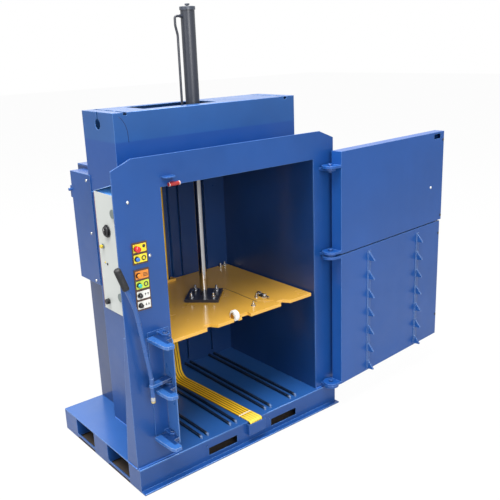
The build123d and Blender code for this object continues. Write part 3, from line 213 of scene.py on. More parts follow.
def metal(name, colour, rough=0.25, scratch=(30, 30, 400), edge_radius=0.0008, grain=0.06):
    """Bare or plated metal with fine scratches along one way."""
    s = Shader(name)
    s.bsdf.inputs["Metallic"].default_value = 1.0
    lines = s.noise(1.0, 4.0, 0.6, scratch)
    s.link(s.ramp(lines, [(0.2, tone(colour, 0.82)), (0.8, tone(colour, 1.08))]),
           s.bsdf.inputs["Base Color"])
    s.link(s.ramp(lines, [(0.2, grey(rough * 0.7)), (0.8, grey(min(1, rough * 1.4)))]),
           s.bsdf.inputs["Roughness"])
    s.link(s.bump(lines, grain, 0.0002, s.rounded(edge_radius)), s.bsdf.inputs["Normal"])
    return s.material


def plastic(name, colour, rough=0.4, bump=0.12, scale=900.0, edge_radius=0.0008, coat=0.0):
    """Moulded plastic with a fine grain."""
    s = Shader(name)
    tint = s.ramp(s.noise(16.0, 4.0, 0.6), [(0.25, tone(colour, 0.9)), (0.75, tone(colour, 1.1))])
    s.link(tint, s.bsdf.inputs["Base Color"])
    gloss = s.ramp(s.noise(60.0, 3.0),
                   [(0.2, grey(rough * 0.85)), (0.8, grey(min(1, rough * 1.2)))])
    s.link(gloss, s.bsdf.inputs["Roughness"])
    s.bsdf.inputs["Coat Weight"].default_value = coat
    normal = s.rounded(edge_radius)
    s.link(s.bump(s.noise(scale, 2.0), bump, 0.0002, normal), s.bsdf.inputs["Normal"])
    return s.material


def bright_line(name, colour, rough):
    """Paint for a thin line, without edges of its own."""
    return paint(name, colour, rough, edge_radius=0.001, cloud=0.05)


def button(name, colour):
    """A shiny moulded button."""
    return plastic(name, colour, 0.22, 0.04, coat=0.5)


# The lighter edge colour given to each paint below is a painted highlight on its rounded edges.
EDGE_HIGHLIGHT_BLUE = srgb(118, 168, 236)
HOUSING_BAND_TOP = 1.486        # height where the housing's lower band ends
CLAW_SHADE_CORNER = (-0.486, -0.484)   # x and y beyond which a claw is painted darker: painted shade of the bar

blue_paint = paint("blue_paint", srgb(22, 70, 136), 0.36, EDGE_HIGHLIGHT_BLUE, 0.0030, streak=0.05,
                   coat=0.2)
housing_paint = paint("housing_paint", srgb(32, 82, 144), 0.36, EDGE_HIGHLIGHT_BLUE, 0.0030, streak=0.05,
                      coat=0.2, band=(HOUSING_BAND_TOP, srgb(24, 72, 142)))
door_paint = paint("door_paint", srgb(23, 77, 150), 0.38, EDGE_HIGHLIGHT_BLUE, 0.0026, streak=0.08,
                   cloud=0.06, coat=0.2)
# A lighter copy of the machine blue for the deck: painted light on its top.
deck_lit_paint = paint("deck_lit_paint", srgb(36, 86, 154), 0.36, EDGE_HIGHLIGHT_BLUE, 0.0030, cloud=0.06)
# A darker copy of the machine blue for the chamber's inside: painted shade.
chamber_shaded_paint = paint("chamber_shaded_paint", srgb(17, 52, 104), 0.34, srgb(60, 100, 175), 0.0020,
                      streak=0.06)
# A far lighter copy of the machine blue for the lid sheet: painted light.
lid_lit_paint = paint("lid_lit_paint", srgb(84, 156, 240), 0.34, srgb(170, 208, 252), 0.0020, coat=0.4,
                  cloud=0.05)
lock_paint = paint("lock_paint", srgb(32, 80, 146), 0.28, srgb(170, 200, 240), 0.0030, peel=0.08)
# The bar's paint is a lighter copy of the lock blue: painted light on its shaded face.
bar_lit_paint = paint("bar_lit_paint", srgb(62, 108, 172), 0.30, srgb(150, 186, 236), 0.0020, peel=0.08)
# The claws' inner part is painted dark blue: a painted shade of the bar.
claw_paint = paint("claw_paint", srgb(48, 98, 166), 0.26, srgb(180, 204, 238), 0.0030, peel=0.08,
                   inner=(*CLAW_SHADE_CORNER, srgb(18, 52, 104)))
rail_paint = paint("rail_paint", srgb(8, 12, 22), 0.35, srgb(110, 140, 190), 0.0018, cloud=0.2)
# Pale blue for the bar tips: a painted highlight.
tip_highlight_paint = paint("tip_highlight_paint", srgb(84, 112, 156), 0.30, srgb(190, 210, 240), 0.0016, cloud=0.05)
# Lighter blue for the weld beads: a painted highlight.
weld_highlight_paint = paint("weld_highlight_paint", srgb(60, 110, 190), 0.25, edge_radius=0.001, peel=0.3)
# Pale paints for thin lines along edges: painted highlights.
bright_highlight_line = bright_line("bright_highlight_line", srgb(112, 160, 232), 0.30)
blue_highlight_line = bright_line("blue_highlight_line", srgb(70, 116, 190), 0.32)
pale_highlight_line = bright_line("pale_highlight_line", srgb(150, 190, 240), 0.30)
seam_blue = bright_line("seam_blue", srgb(12, 34, 80), 0.50)
platen_paint = paint("platen_paint", srgb(226, 172, 66), 0.24, srgb(236, 196, 104), 0.0015,
                     coat=0.5, cloud=0.07)
barrel_paint = paint("barrel_paint", srgb(42, 46, 56), 0.40, srgb(96, 102, 114), 0.0015,
                     streak=0.04, coat=0.15)
cap_paint = paint("cap_paint", srgb(56, 62, 74), 0.36, srgb(140, 148, 160), 0.0015, cloud=0.12,
                  coat=0.15)
foot_paint = paint("foot_paint", srgb(34, 36, 48), 0.42, srgb(84, 88, 104), 0.0020, cloud=0.2)
pipe_paint = paint("pipe_paint", srgb(40, 44, 54), 0.35, edge_radius=0.001, cloud=0.2)
panel_paint = paint("panel_paint", srgb(198, 202, 198), 0.42, srgb(226, 226, 220), 0.001,
                    coat=0.1, cloud=0.02)

chrome = metal("chrome", srgb(168, 168, 171), 0.10, (60, 60, 6), grain=0.02)
zinc = metal("zinc", srgb(200, 202, 206), 0.24, (220, 220, 220))
dark_steel = metal("dark_steel", srgb(64, 64, 68), 0.35, (200, 200, 200))
brass = metal("brass", srgb(186, 140, 58), 0.3, (200, 200, 200))
steel_ball = metal("steel_ball", srgb(214, 196, 150), 0.2, (120, 120, 120))
motor_metal = metal("motor_metal", srgb(150, 154, 160), 0.5, (90, 90, 90), grain=0.2)
pale_pipe = metal("pale_pipe", srgb(206, 200, 186), 0.35, (150, 150, 150))

blue_button = button("blue_button", srgb(40, 112, 200))
amber = button("amber_button", srgb(240, 136, 18))
teal = button("teal_button", srgb(52, 180, 162))
yellow_button = button("yellow_button", srgb(216, 186, 36))
red = plastic("red_plastic", srgb(206, 30, 26), 0.25, 0.04, coat=0.5)
switch_red = plastic("switch_red", srgb(160, 36, 34), 0.35, 0.06, coat=0.2)
black = plastic("black_plastic", srgb(26, 27, 30), 0.42)
black_shine = plastic("black_button", srgb(20, 20, 22), 0.2, 0.04, coat=0.4)
switch_black = plastic("switch_black", srgb(38, 39, 42), 0.5)
grommet_grey = plastic("grommet_grey", srgb(112, 124, 122), 0.4, 0.08)
brown_plate = plastic("brown_plate", srgb(78, 58, 48), 0.45)
nylon = plastic("nylon", srgb(232, 232, 228), 0.5, 0.15, 300.0, 0.002)
legend_ink = plastic("legend_ink", srgb(46, 40, 36), 0.5)
strip_red = plastic("strip_red", srgb(110, 30, 34), 0.5)
seam_brown = plastic("seam_brown", srgb(52, 36, 12), 0.6)
grip_rubber = plastic("grip_rubber", srgb(24, 25, 28), 0.6, 0.3, 500)


def dress(material, *names):
    """Give CAD nodes their material."""
    for name in names:
        obj = nodes[name]
        if not obj.material_slots:
            obj.data.materials.append(material)
        for slot in obj.material_slots:
            slot.material = material


dress(housing_paint, "top_housing")
dress(blue_paint, "front_frame", "side_cabinet", "rear_cover_box", "wall_ribs", "pallet_frame",
      "chamber_roof", "strap_fixings", "switch_bracket", "frame_lugs", "hinge_pins")
dress(chamber_shaded_paint, "chamber_left_wall", "chamber_right_wall", "chamber_back_wall")
dress(deck_lit_paint, "base_deck")
dress(rail_paint, "twine_guides")
dress(door_paint, "upper_door", "upper_door_skin", "lower_door", "lower_door_skin")
dress(lock_paint, "door_teeth", "lock_lever")
dress(bar_lit_paint, "lock_bar")
dress(claw_paint, "lock_hooks")
dress(platen_paint, "platen")
dress(barrel_paint, "cylinder_barrel", "cylinder_flange")
dress(cap_paint, "cylinder_cap")
dress(foot_paint, "rod_foot", "oil_tank")
dress(pipe_paint, "oil_pipe", "pipe_fittings")
dress(panel_paint, "control_panel")
dress(black, "isolator_knob", "panel_knob", "button_bezels", "lever_grip")
dress(black_shine, "down_button", "up_button")
dress(grommet_grey, "panel_fittings")
dress(red, "stop_button")
dress(switch_red, "safety_switch")
dress(blue_button, "reset_button")
dress(amber, "amber_button")
dress(teal, "teal_button")
dress(yellow_button, "panel_button")
dress(nylon, "guide_roller")
dress(switch_black, "switchgear")
dress(motor_metal, "pump_unit")
dress(pale_pipe, "supply_pipe")
dress(chrome, "piston_rod")
dress(zinc, "platen_bolts", "foot_bolts", "dome_screws", "lever_pin", "latch_pin")
dress(brown_plate, "station_plates")


# Mesh helpers
def mesh_object(name, verts, faces, material, smooth=False):
    mesh = bpy.data.meshes.new(name)
    mesh.from_pydata(verts, [], faces)
    mesh.update()
    bm = bmesh.new()
    bm.from_mesh(mesh)
    bmesh.ops.recalc_face_normals(bm, faces=bm.faces)
    bm.to_mesh(mesh)
    bm.free()
    for face in mesh.polygons:
        face.use_smooth = smooth
    mesh.materials.append(material)
    obj = bpy.data.objects.new(name, mesh)
    bpy.context.scene.collection.objects.link(obj)
    return obj


def skin(rings, steps, closed=False):
    """The faces over a row of rings with as many points each, and the caps of an open row."""
    faces = []
    for i in range(rings if closed else rings - 1):
        here, there = i * steps, (i + 1) % rings * steps
        for k in range(steps):
            after = (k + 1) % steps
            faces.append((here + k, here + after, there + after, there + k))
    if not closed:
        faces.append(tuple(range(steps))[::-1])
        faces.append(tuple(range((rings - 1) * steps, rings * steps)))
    return faces


def ring_points(centre, side, other, radius, steps):
    """Points of a circle in the plane of two directions."""
    turns = [2 * math.pi * k / steps for k in range(steps)]
    return [centre + side * (radius * math.cos(turn)) + other * (radius * math.sin(turn))
            for turn in turns]


def lathe(name, profile, base, axis, material, steps=40, smooth=True):
    """A turned piece: profile is a list of (distance along the axis, radius)."""
    axis = Vector(axis).normalized()
    side = axis.orthogonal().normalized()
    other = axis.cross(side)
    base = Vector(base)
    verts = []
    for along, radius in profile:
        verts += ring_points(base + axis * along, side, other, radius, steps)
    return mesh_object(name, verts, skin(len(profile), steps), material, smooth)


def tube(name, path, radius, material, steps=10, closed=False):
    """A round bead along a list of points, with one radius or one for each point."""
    path = [Vector(p) for p in path]
    count = len(path)
    radii = radius if isinstance(radius, list) else [radius] * count
    verts = []
    side = None
    for i, point in enumerate(path):
        ahead = path[(i + 1) % count] if closed else path[min(i + 1, count - 1)]
        behind = path[(i - 1) % count] if closed else path[max(i - 1, 0)]
        along = (ahead - behind).normalized()
        side = (along.orthogonal() if side is None else side - along * side.dot(along)).normalized()
        verts += ring_points(point, side, along.cross(side), radii[i], steps)
    return mesh_object(name, verts, skin(count, steps, closed), material, True)


def slab(name, outline, low, high, place, material):
    """A plate of the given outline between two heights; place maps (a, b, c) into the frame."""
    verts = [place(a, b, c) for c in (low, high) for a, b in outline]
    return mesh_object(name, verts, skin(2, len(outline)), material)


def front_place(y):
    """Put an (x, z) outline on the front face at y, standing out towards -Y."""
    return lambda a, b, c: Vector((a, y - c, b))


def left_place(x):
    """Put a (y, z) outline on a left face at x, standing out towards -X."""
    return lambda a, b, c: Vector((x - c, a, b))


def flat_place(a, b, c):
    """Put an (x, y) outline on a level face."""
    return Vector((a, b, c))


def rectangle(left, right, low, high):
    return [(left, low), (right, low), (right, high), (left, high)]


def circle(a, b, radius, count):
    turns = [2 * math.pi * k / count for k in range(count)]
    return [(a + radius * math.cos(turn), b + radius * math.sin(turn)) for turn in turns]


def carried(piece, body):
    """Let a piece ride on its body."""
    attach(piece, body)
    return piece


def turned(name, profile, base, axis, material, body, steps=28, smooth=True):
    return carried(lathe(name, profile, base, axis, material, steps, smooth), body)


def edge_line(name, points, radius, material):
    """A thin painted line along a fold or edge of the fixed machine; a pale one is a painted
    highlight.
    """
    carried(tube(name, points, radius, material, 8), ROOT)


# Ejector strap: ribbed webbing on the course of its solid
STRAP_COURSE = [(0.041, -0.384, 0.074), (0.041, -0.384, 0.1135), (0.006, 0.250, 0.1135),
                (0.025, 0.356, 0.600), (0.025, 0.356, 1.230)]
STRAP_BENDS = [0.009, 0.060, 0.500]
STRAP_ACROSS = (0.634, 0.035, 0)
STRAP_WIDTH = 0.079
STRAP_RIBS = 5
STRAP_STEP = 0.010


def rounded_path(points, radii, step):
    """The middle line of straight runs joined by arcs, in steps of about the given length."""
    pts = [Vector(p) for p in points]
    line = [pts[0]]
    for i in range(1, len(pts) - 1):
        a, b, c = pts[i - 1], pts[i], pts[i + 1]
        u, w = (a - b).normalized(), (c - b).normalized()
        angle = u.angle(w)
        back = radii[i - 1] / math.tan(angle / 2)
        middle = b + (u + w).normalized() * (radii[i - 1] / math.sin(angle / 2))
        p0, p1 = b + u * back - middle, b + w * back - middle
        sweep = p0.angle(p1)
        turns = max(4, int(radii[i - 1] * sweep / step))
        normal = p0.cross(p1).normalized()
        for k in range(turns + 1):
            line.append(middle + Matrix.Rotation(sweep * k / turns, 3, normal) @ p0)
    line.append(pts[-1])
    dense = [line[0]]
    for p in line[1:]:
        origin = dense[-1].copy()
        parts = max(1, int((p - origin).length / step))
        for k in range(1, parts + 1):
            dense.append(origin.lerp(p, k / parts))
    return dense


def strap_section():
    """The ribbed webbing's outline as (across, thickness, share of the width)."""
    samples, middle, rib_high, back_share = 48, 0.0012, 0.0010, 0.8
    face = []
    for k in range(samples + 1):
        share = k / samples
        rib = abs(math.sin(share * STRAP_RIBS * math.pi)) ** 0.6
        edge = min(1.0, min(share, 1 - share) * 30)
        thick = (middle + rib_high * rib) * (0.6 + 0.4 * edge)
        face.append((STRAP_WIDTH * (share - 0.5), thick, share))
    return face + [(a, -b * back_share, share) for a, b, share in reversed(face)]


def strap_material():
    """Woven yellow webbing: its map runs across (X) and along (Y) the strap in metres."""
    s = Shader("strap_web")
    web = s.split(s.add("ShaderNodeUVMap").outputs["UV"])
    across, along = web["X"], web["Y"]
    weft = s.math("SINE", s.math("MULTIPLY", along, 2600.0))
    warp = s.math("SINE", s.math("MULTIPLY", across, 5200.0))
    weave = s.math("MULTIPLY", weft, warp)
    yarn = s.noise(260.0, 3.0, 0.6)
    base = s.ramp(s.noise(5.0, 4.0, 0.6), [(0.3, srgb(238, 188, 22)), (0.7, srgb(250, 206, 36))],
                  True)
    base = s.mix(s.math("MULTIPLY", yarn, 0.22), base, srgb(206, 158, 8))
    # Dark lines between the ribs: painted shade in the grooves.
    rib_turn = s.math("MULTIPLY", across, STRAP_RIBS * math.pi / STRAP_WIDTH)
    groove_shade = s.ramp(s.math("ABSOLUTE", s.math("SINE", rib_turn)),
                    [(0.0, grey(1.0)), (0.45, grey(0.9)), (0.62, grey(0.0))])
    base = s.mix(groove_shade, base, srgb(104, 66, 4))
    stripe = s.ramp(along, [(0.0, grey(0)), (0.113, grey(0)), (0.1135, grey(1)), (0.120, grey(1)),
                            (0.1205, grey(0)), (1.0, grey(0))])
    base = s.mix(stripe, base, srgb(246, 244, 236))
    # Lighter yellow over the bend and the run up to the white stripe: a painted highlight.
    fold = s.ramp(along, [(0.0, grey(0)), (0.024, grey(0.2)), (0.034, grey(0.65)),
                          (0.085, grey(0.5)), (0.112, grey(0)), (1.0, grey(0))])
    base = s.mix(fold, base, srgb(255, 230, 96))
    s.link(base, s.bsdf.inputs["Base Color"])
    s.bsdf.inputs["Roughness"].default_value = 0.55
    s.link(s.bump(s.math("ADD", weave, yarn), 0.5, 0.0004), s.bsdf.inputs["Normal"])
    return s.material


def make_strap():
    path = rounded_path(STRAP_COURSE, STRAP_BENDS, STRAP_STEP)
    section = strap_section()
    verts, travel = [], [0.0]
    across = Vector(STRAP_ACROSS).normalized()
    for i, p in enumerate(path):
        if i:
            travel.append(travel[-1] + (p - path[i - 1]).length)
        along = (path[min(i + 1, len(path) - 1)] - path[max(i - 1, 0)]).normalized()
        across = (across - along * across.dot(along)).normalized()
        out = across.cross(along)
        verts += [p + across * a + out * b for a, b, share in section]
    n = len(section)
    strap = mesh_object("strap_webbing", verts, skin(len(path), n), strap_material(), True)
    layer = strap.data.uv_layers.new(name="web")
    for poly in strap.data.polygons:
        for loop in poly.loop_indices:
            v = strap.data.loops[loop].vertex_index
            layer.data[loop].uv = (section[v % n][2] * STRAP_WIDTH, travel[v // n])
    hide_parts("ejector_strap")
    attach(strap, ROOT)


# Button stations: coloured legends with plain symbols
LEGENDS = {   # the height of each legend's middle, and its colour
    "stop": (1.089, srgb(236, 206, 48)), "reset": (1.046, srgb(240, 222, 60)),
    "amber": (0.977, srgb(226, 138, 52)), "teal": (0.935, srgb(196, 216, 70)),
    "down": (0.891, srgb(226, 226, 220)), "up": (0.848, srgb(226, 226, 220)),
}
LEGEND_HALF_HIGH = 0.0168
LEGEND_MARGIN = 0.0022      # how much narrower a legend is than its solid, on each side
LEGEND_CORNER = 0.003
LEGEND_THICK = 0.0019
SYMBOL_IN = 0.017           # from the solid's right side to the middle of the symbols


def legend_outline(left, right, level):
    """A rectangle with round corners."""
    low, high = level - LEGEND_HALF_HIGH + LEGEND_CORNER, level + LEGEND_HALF_HIGH - LEGEND_CORNER
    outline = []
    for x, z, start in ((right, high, 0), (left, high, 90), (left, low, 180), (right, low, 270)):
        for k in range(5):
            turn = math.radians(start + 22.5 * k)
            outline.append((x + LEGEND_CORNER * math.cos(turn), z + LEGEND_CORNER * math.sin(turn)))
    return outline


def legend_marks(key, x, y, level):
    """The symbols of one legend: a ring, an arrow pair, three bars or a dot."""
    def printed(name, outline):
        return slab(name, outline, -0.0002, 0.0004, front_place(y), legend_ink)

    if key in ("reset", "teal"):
        course = [(a, y - 0.0002, b) for a, b in circle(x, level, 0.0085, 28)]
        return [tube("legend_ring_" + key, course, 0.0022, legend_ink, 6, True)]
    if key in ("down", "up"):
        sign = -1 if key == "down" else 1
        foot, tip, half = level - 0.005 * sign, level + 0.007 * sign, 0.0036
        arrows = [[(a - half, foot), (a + half, foot), (a, tip)] for a in (x - 0.006, x + 0.006)]
        return [printed("legend_arrow_%s_%d" % (key, i), arrow) for i, arrow in enumerate(arrows)]
    if key == "amber":
        bar_high, bar_pitch = 0.0025, 0.006
        feet = [level - 0.008 + bar_pitch * k for k in range(3)]
        return [printed("legend_bar_%d" % k, rectangle(x - 0.010, x + 0.011, foot, foot + bar_high))
                for k, foot in enumerate(feet)]
    return [printed("legend_dot", circle(x + 0.004, level + 0.006, 0.007, 30))]


def make_legends():
    low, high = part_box("legend_plates")
    inset = LEGEND_MARGIN + LEGEND_CORNER
    for key, (level, colour) in LEGENDS.items():
        outline = legend_outline(low.x + inset, high.x - inset, level)
        plate = slab("legend_plate_" + key, outline, 0.0, LEGEND_THICK, front_place(high.y),
                     plastic("legend_" + key, colour, 0.4, 0.05))
        carried(plate, ROOT)
        for mark in legend_marks(key, high.x - SYMBOL_IN, low.y, level):
            carried(mark, ROOT)
    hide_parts("legend_plates")


# Domed screw heads on the rear cover box and the front frame
SCREW_DOME = [(0.0, 0.0070), (0.0012, 0.0070), (0.0028, 0.0062), (0.0041, 0.0042),
              (0.0047, 0.0022), (0.0049, 0.0004)]
BOX_SCREW_Y, BOX_SCREW_LEVELS = 0.130, (1.296, 1.052, 0.824)
FRAME_SCREW_Y, FRAME_SCREWS = -0.356, ((-0.537, 1.279), (-0.457, 1.046))


def make_screws():
    box_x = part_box("rear_cover_box")[0].x
    spots = [((box_x, BOX_SCREW_Y, z), (-1, 0, 0)) for z in BOX_SCREW_LEVELS]
    spots += [((x, FRAME_SCREW_Y, z), (0, -1, 0)) for x, z in FRAME_SCREWS]
    screws = [turned("dome_screw_%d" % i, SCREW_DOME, place, axis, zinc, ROOT, 32)
              for i, (place, axis) in enumerate(spots)]
    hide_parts("dome_screws")


# Lever grip: moulded rubber with rings, on the lever's leaning end
LEVER_FOOT = Vector((-0.529, -0.412, 0.536))
LEVER_BEND_HIGH = 0.324
LEVER_TILT, LEVER_LEAN = math.radians(8), math.radians(20)   # below and above the bend
LEVER_END_HIGH = 0.172                                       # from the bend to the end
GRIP_OVERHANG = 0.012
GRIP_LENGTH = 0.100
GRIP_RINGS = 15
GRIP_RADIUS, GRIP_GROOVE = 0.0148, 0.0134


def make_grip():
    axis = Vector((math.sin(LEVER_LEAN), 0, -math.cos(LEVER_LEAN)))
    bend = LEVER_FOOT + Vector((-math.tan(LEVER_TILT), 0, 1)) * LEVER_BEND_HIGH
    tip = bend + Vector((-math.tan(LEVER_LEAN), 0, 1)) * LEVER_END_HIGH
    profile = [(0.0, 0.004), (0.0015, 0.0110), (0.005, 0.0140), (0.009, GRIP_RADIUS)]
    ringed = GRIP_LENGTH - 0.024
    wide = ringed / GRIP_RINGS
    for k in range(GRIP_RINGS):
        at = 0.010 + ringed * k / GRIP_RINGS
        profile += [(at, GRIP_RADIUS), (at + wide * 0.55, GRIP_RADIUS),
                    (at + wide * 0.65, GRIP_GROOVE), (at + wide * 0.95, GRIP_GROOVE)]
    profile += [(GRIP_LENGTH - 0.008, GRIP_RADIUS), (GRIP_LENGTH - 0.002, 0.0140),
                (GRIP_LENGTH, 0.0096)]
    grip = lathe("grip_rubber", profile, tip - axis * GRIP_OVERHANG, axis, grip_rubber, 36)
    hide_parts("lever_grip")
    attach(grip, "door_lock")


# Weld beads where plates meet the deck, painted a lighter blue: a painted highlight along the
# joints
WELD_LEVEL = 0.111
WELDS = {   # from and to as (x, y), and the bead's radius
    "weld_column_front": ((-0.598, -0.357), (-0.385, -0.357), 0.0030),
    "weld_column_side": ((-0.601, -0.350), (-0.601, -0.272), 0.0030),
    "weld_right_column": ((0.475, -0.357), (0.604, -0.357), 0.0030),
    "weld_cabinet": ((-0.452, -0.345), (-0.452, 0.116), 0.0026),
}
WELD_STEP = 0.006


def make_welds():
    for name, (start, end, radius) in WELDS.items():
        start, end = Vector((*start, WELD_LEVEL)), Vector((*end, WELD_LEVEL))
        count = max(4, int((end - start).length / WELD_STEP))
        path = [start.lerp(end, i / count) for i in range(count + 1)]
        radii = [radius * (1 + 0.16 * math.sin(i * 1.9) + 0.08 * math.sin(i * 0.7 + 1))
                 for i in range(count + 1)]
        carried(tube(name, path, radii, weld_highlight_paint, 8), ROOT)


# Small parts of the press plate
SEAM_OUTLINE = [(0.1876, -0.2385), (0.1936, 0.0412), (0.1984, 0.0412), (0.1924, -0.2385)]
HEX_PROFILE = [(0.0, 0.0095), (0.0008, 0.0124), (0.0056, 0.0124)]
WASHER_PROFILE = [(0.0, 0.0150), (0.0010, 0.0150)]
LATCH_KNOB = [(0.0, 0.0060), (0.0010, 0.0098), (0.0040, 0.0106), (0.0100, 0.0106),
              (0.0140, 0.0098), (0.0155, 0.0070)]
COIL_TURNS, COIL_POINTS = 8, 14
COIL_START_Y, COIL_LENGTH, COIL_RADIUS, WIRE_RADIUS = -0.2225, 0.0270, 0.0076, 0.0009


def make_seam():
    """The dark strip along the plate's bend."""
    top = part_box("rod_foot")[0].z
    seam = slab("platen_seam", SEAM_OUTLINE, top - 0.0018, top - 0.0006, flat_place, seam_brown)
    carried(seam, "press_plate")


def make_roller_bolt():
    low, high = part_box("guide_roller")
    bolts_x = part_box("platen_bolts")[0].x
    middle = (low + high) / 2
    for name, profile, x, material, steps in (
            ("roller_hex", HEX_PROFILE, bolts_x - 0.0006, brass, 6),
            ("roller_washer", WASHER_PROFILE, low.x - 0.0012, zinc, 32)):
        turned(name, profile, (x, middle.y, middle.z), (1, 0, 0), material, "press_plate",
               steps, False)


def make_latch_fittings():
    """The knob on the latch pin, and the coil spring that the latch's joint squashes."""
    low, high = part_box("latch_pin")
    x, z = (low.x + high.x) / 2, (low.z + high.z) / 2
    turned("latch_knob", LATCH_KNOB, (x, high.y - LATCH_KNOB[-1][0], z), (0, 1, 0), zinc, "latch")
    coil = []
    for k in range(COIL_TURNS * COIL_POINTS + 1):
        spin = 2 * math.pi * k / COIL_POINTS
        share = k / (COIL_TURNS * COIL_POINTS)
        coil.append((x + COIL_RADIUS * math.cos(spin), COIL_START_Y + COIL_LENGTH * share,
                     z + COIL_RADIUS * math.sin(spin)))
    spring = tube("latch_spring", coil, WIRE_RADIUS, dark_steel, 6)
    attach(spring, "press_plate")
    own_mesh(spring)


# Small marks of the open doors, on the face that looks to the camera at rest
DOOR_NORMAL = (0.078, -0.997, 0.0)
DOOR_SCREW = (1.3544, 1.0479)                       # x and z
DOOR_FACE_Y, DOOR_FACE_SLOPE = -0.3848, 0.0782      # y at the screw, and its change along x
DOOR_DOME = [(0.0, 0.0072), (0.0012, 0.0072), (0.0030, 0.0060), (0.0044, 0.0036), (0.0048, 0.0004)]
CAP_PROFILE = [(0.0, 0.0074), (0.0010, 0.0074), (0.0016, 0.0064), (0.0016, 0.0010)]
DOOR_CAPS = ((1.4646, 1.3037, "upper_door_leaf"), (1.4646, 0.8698, "upper_door_leaf"),
             (1.4508, 0.7660, "lower_door_leaf"), (1.4508, 0.2620, "lower_door_leaf"))


def make_door_marks():
    def on_face(x, z):
        return (x, DOOR_FACE_Y + (x - DOOR_SCREW[0]) * DOOR_FACE_SLOPE, z)

    turned("door_screw", DOOR_DOME, on_face(*DOOR_SCREW), DOOR_NORMAL, nylon, "upper_door_leaf")
    for i, (x, z, leaf) in enumerate(DOOR_CAPS):
        turned("door_edge_cap_%d" % i, CAP_PROFILE, on_face(x, z), DOOR_NORMAL, black, leaf,
               20)


# Sheet on the side cabinet's sloping lid, painted a far lighter blue than the machine: painted
# light on a lid that lies in shade
LID_RISE = 0.060
LID_THICK = 0.0008
LID_INSET = 0.001
LID_STEPS = 12


def make_lid():
    low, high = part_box("side_cabinet")
    up = Vector((-LID_RISE, 0, high.x - low.x)).normalized() * LID_THICK
    foot = Vector((low.x, low.y + LID_INSET, high.z - LID_RISE))
    head = Vector((high.x, low.y + LID_INSET, high.z))
    back = Vector((0, high.y - low.y - 2 * LID_INSET, 0))
    verts = []
    for k in range(LID_STEPS + 1):
        a, b = foot + back * (k / LID_STEPS), head + back * (k / LID_STEPS)
        verts += [a, b, b + up, a + up]
    lid = mesh_object("lid_sheet", verts, skin(LID_STEPS + 1, 4), lid_lit_paint)
    carried(lid, ROOT)


# Pale lines painted along edges that catch the light (painted highlights), and the housing's curved
# seam
FRAME_CUT_WIDE, FRAME_CUT_HIGH = 0.092, 0.038       # the frame's cut upper corners
FOLD_START, FOLD_END = 0.098, 0.030                 # where the fold's line starts and ends
DECK_GAP = (-0.052, 0.124)                          # x of the strap's bracket at the front
SEAM_COURSE = [(-0.424, 1.588), (-0.413, 1.579), (-0.405, 1.568), (-0.398, 1.555), (-0.392, 1.541),
               (-0.389, 1.526), (-0.387, 1.503), (-0.386, 1.480)]


def make_edges():
    house_low, house_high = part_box("top_housing")
    cabinet_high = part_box("side_cabinet")[1]
    roof_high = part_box("chamber_roof")[1]
    x = house_low.x - 0.0004
    edge_line("end_plate_highlight", [(x, house_low.y + 0.001, roof_high.z - 0.025),
                                 (x, cabinet_high.y - 0.022, cabinet_high.z - 0.051)],
              0.0013, pale_highlight_line)
    low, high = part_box("front_frame")
    y, top = low.y + 0.0003, high.z - 0.0003
    edge_line("frame_top_highlight", [(low.x + 0.0004, y, top - FRAME_CUT_HIGH),
                                 (low.x + FRAME_CUT_WIDE, y, top),
                                 (high.x - FRAME_CUT_WIDE, y, top),
                                 (high.x - 0.0004, y, top - FRAME_CUT_HIGH)], 0.0006, blue_highlight_line)
    y, z = house_low.y + 0.0009, house_high.z - 0.0009
    edge_line("housing_fold_highlight", [(house_low.x + FOLD_START, y, z),
                                    (house_high.x - FOLD_END, y, z)], 0.0010, bright_highlight_line)
    edge_line("housing_corner_seam", [(x, house_low.y - 0.0002, z) for x, z in SEAM_COURSE],
              0.0010, seam_blue)
    low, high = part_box("base_deck")
    y, z = low.y + 0.0002, high.z - 0.0002
    for side, (start, stop) in enumerate(((low.x + 0.002, DECK_GAP[0]),
                                          (DECK_GAP[1], high.x - 0.002))):
        edge_line("deck_front_highlight_%d" % side, [(start, y, z), (stop, y, z)], 0.0012, bright_highlight_line)
    low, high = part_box("pallet_frame")
    y, z = low.y + 0.0006, low.z + 0.0062
    edge_line("lip_highlight", [(low.x + 0.003, y, z), (high.x - 0.003, y, z)], 0.0011, bright_highlight_line)


def make_panel_strip():
    """The dark red strip along the control panel's rear edge."""
    low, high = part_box("control_panel")
    outline = rectangle(high.y - 0.0032, high.y - 0.0004, low.z + 0.002, high.z - 0.002)
    strip = slab("panel_rear_strip", outline, 0.0, 0.0006, left_place(low.x), strip_red)
    carried(strip, ROOT)


# Bright ball under the lever's pin
BALL_RADIUS = 0.0105
BALL_DROP = 0.010


def make_lever_ball():
    low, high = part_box("lever_pin")
    turns = [math.pi * k / 12 for k in range(1, 10)]
    ball = [(0.0, 0.0015)] + [(BALL_RADIUS * (1 - math.cos(turn)),
                               BALL_RADIUS * math.sin(turn) + 0.0004) for turn in turns]
    turned("lever_ball", ball, ((low.x + high.x) / 2, (low.y + high.y) / 2, low.z - BALL_DROP),
           (0, 0, 1), steel_ball, "door_lock", 24)


# Pointed ends of the floor bars, painted pale: a painted highlight on the bar tips
TIP_PROUD = 0.0004
TIP_NOSE, TIP_BACK = 0.007, 0.006
BAR_GAP = 0.012             # sides nearer than this belong to one bar
TIP_FACES = [(0, 2, 5, 3), (2, 1, 4, 5), (3, 5, 4), (0, 1, 2), (0, 3, 8, 6), (1, 7, 9, 4),
             (3, 4, 9, 8), (6, 8, 9, 7), (0, 6, 7, 1)]


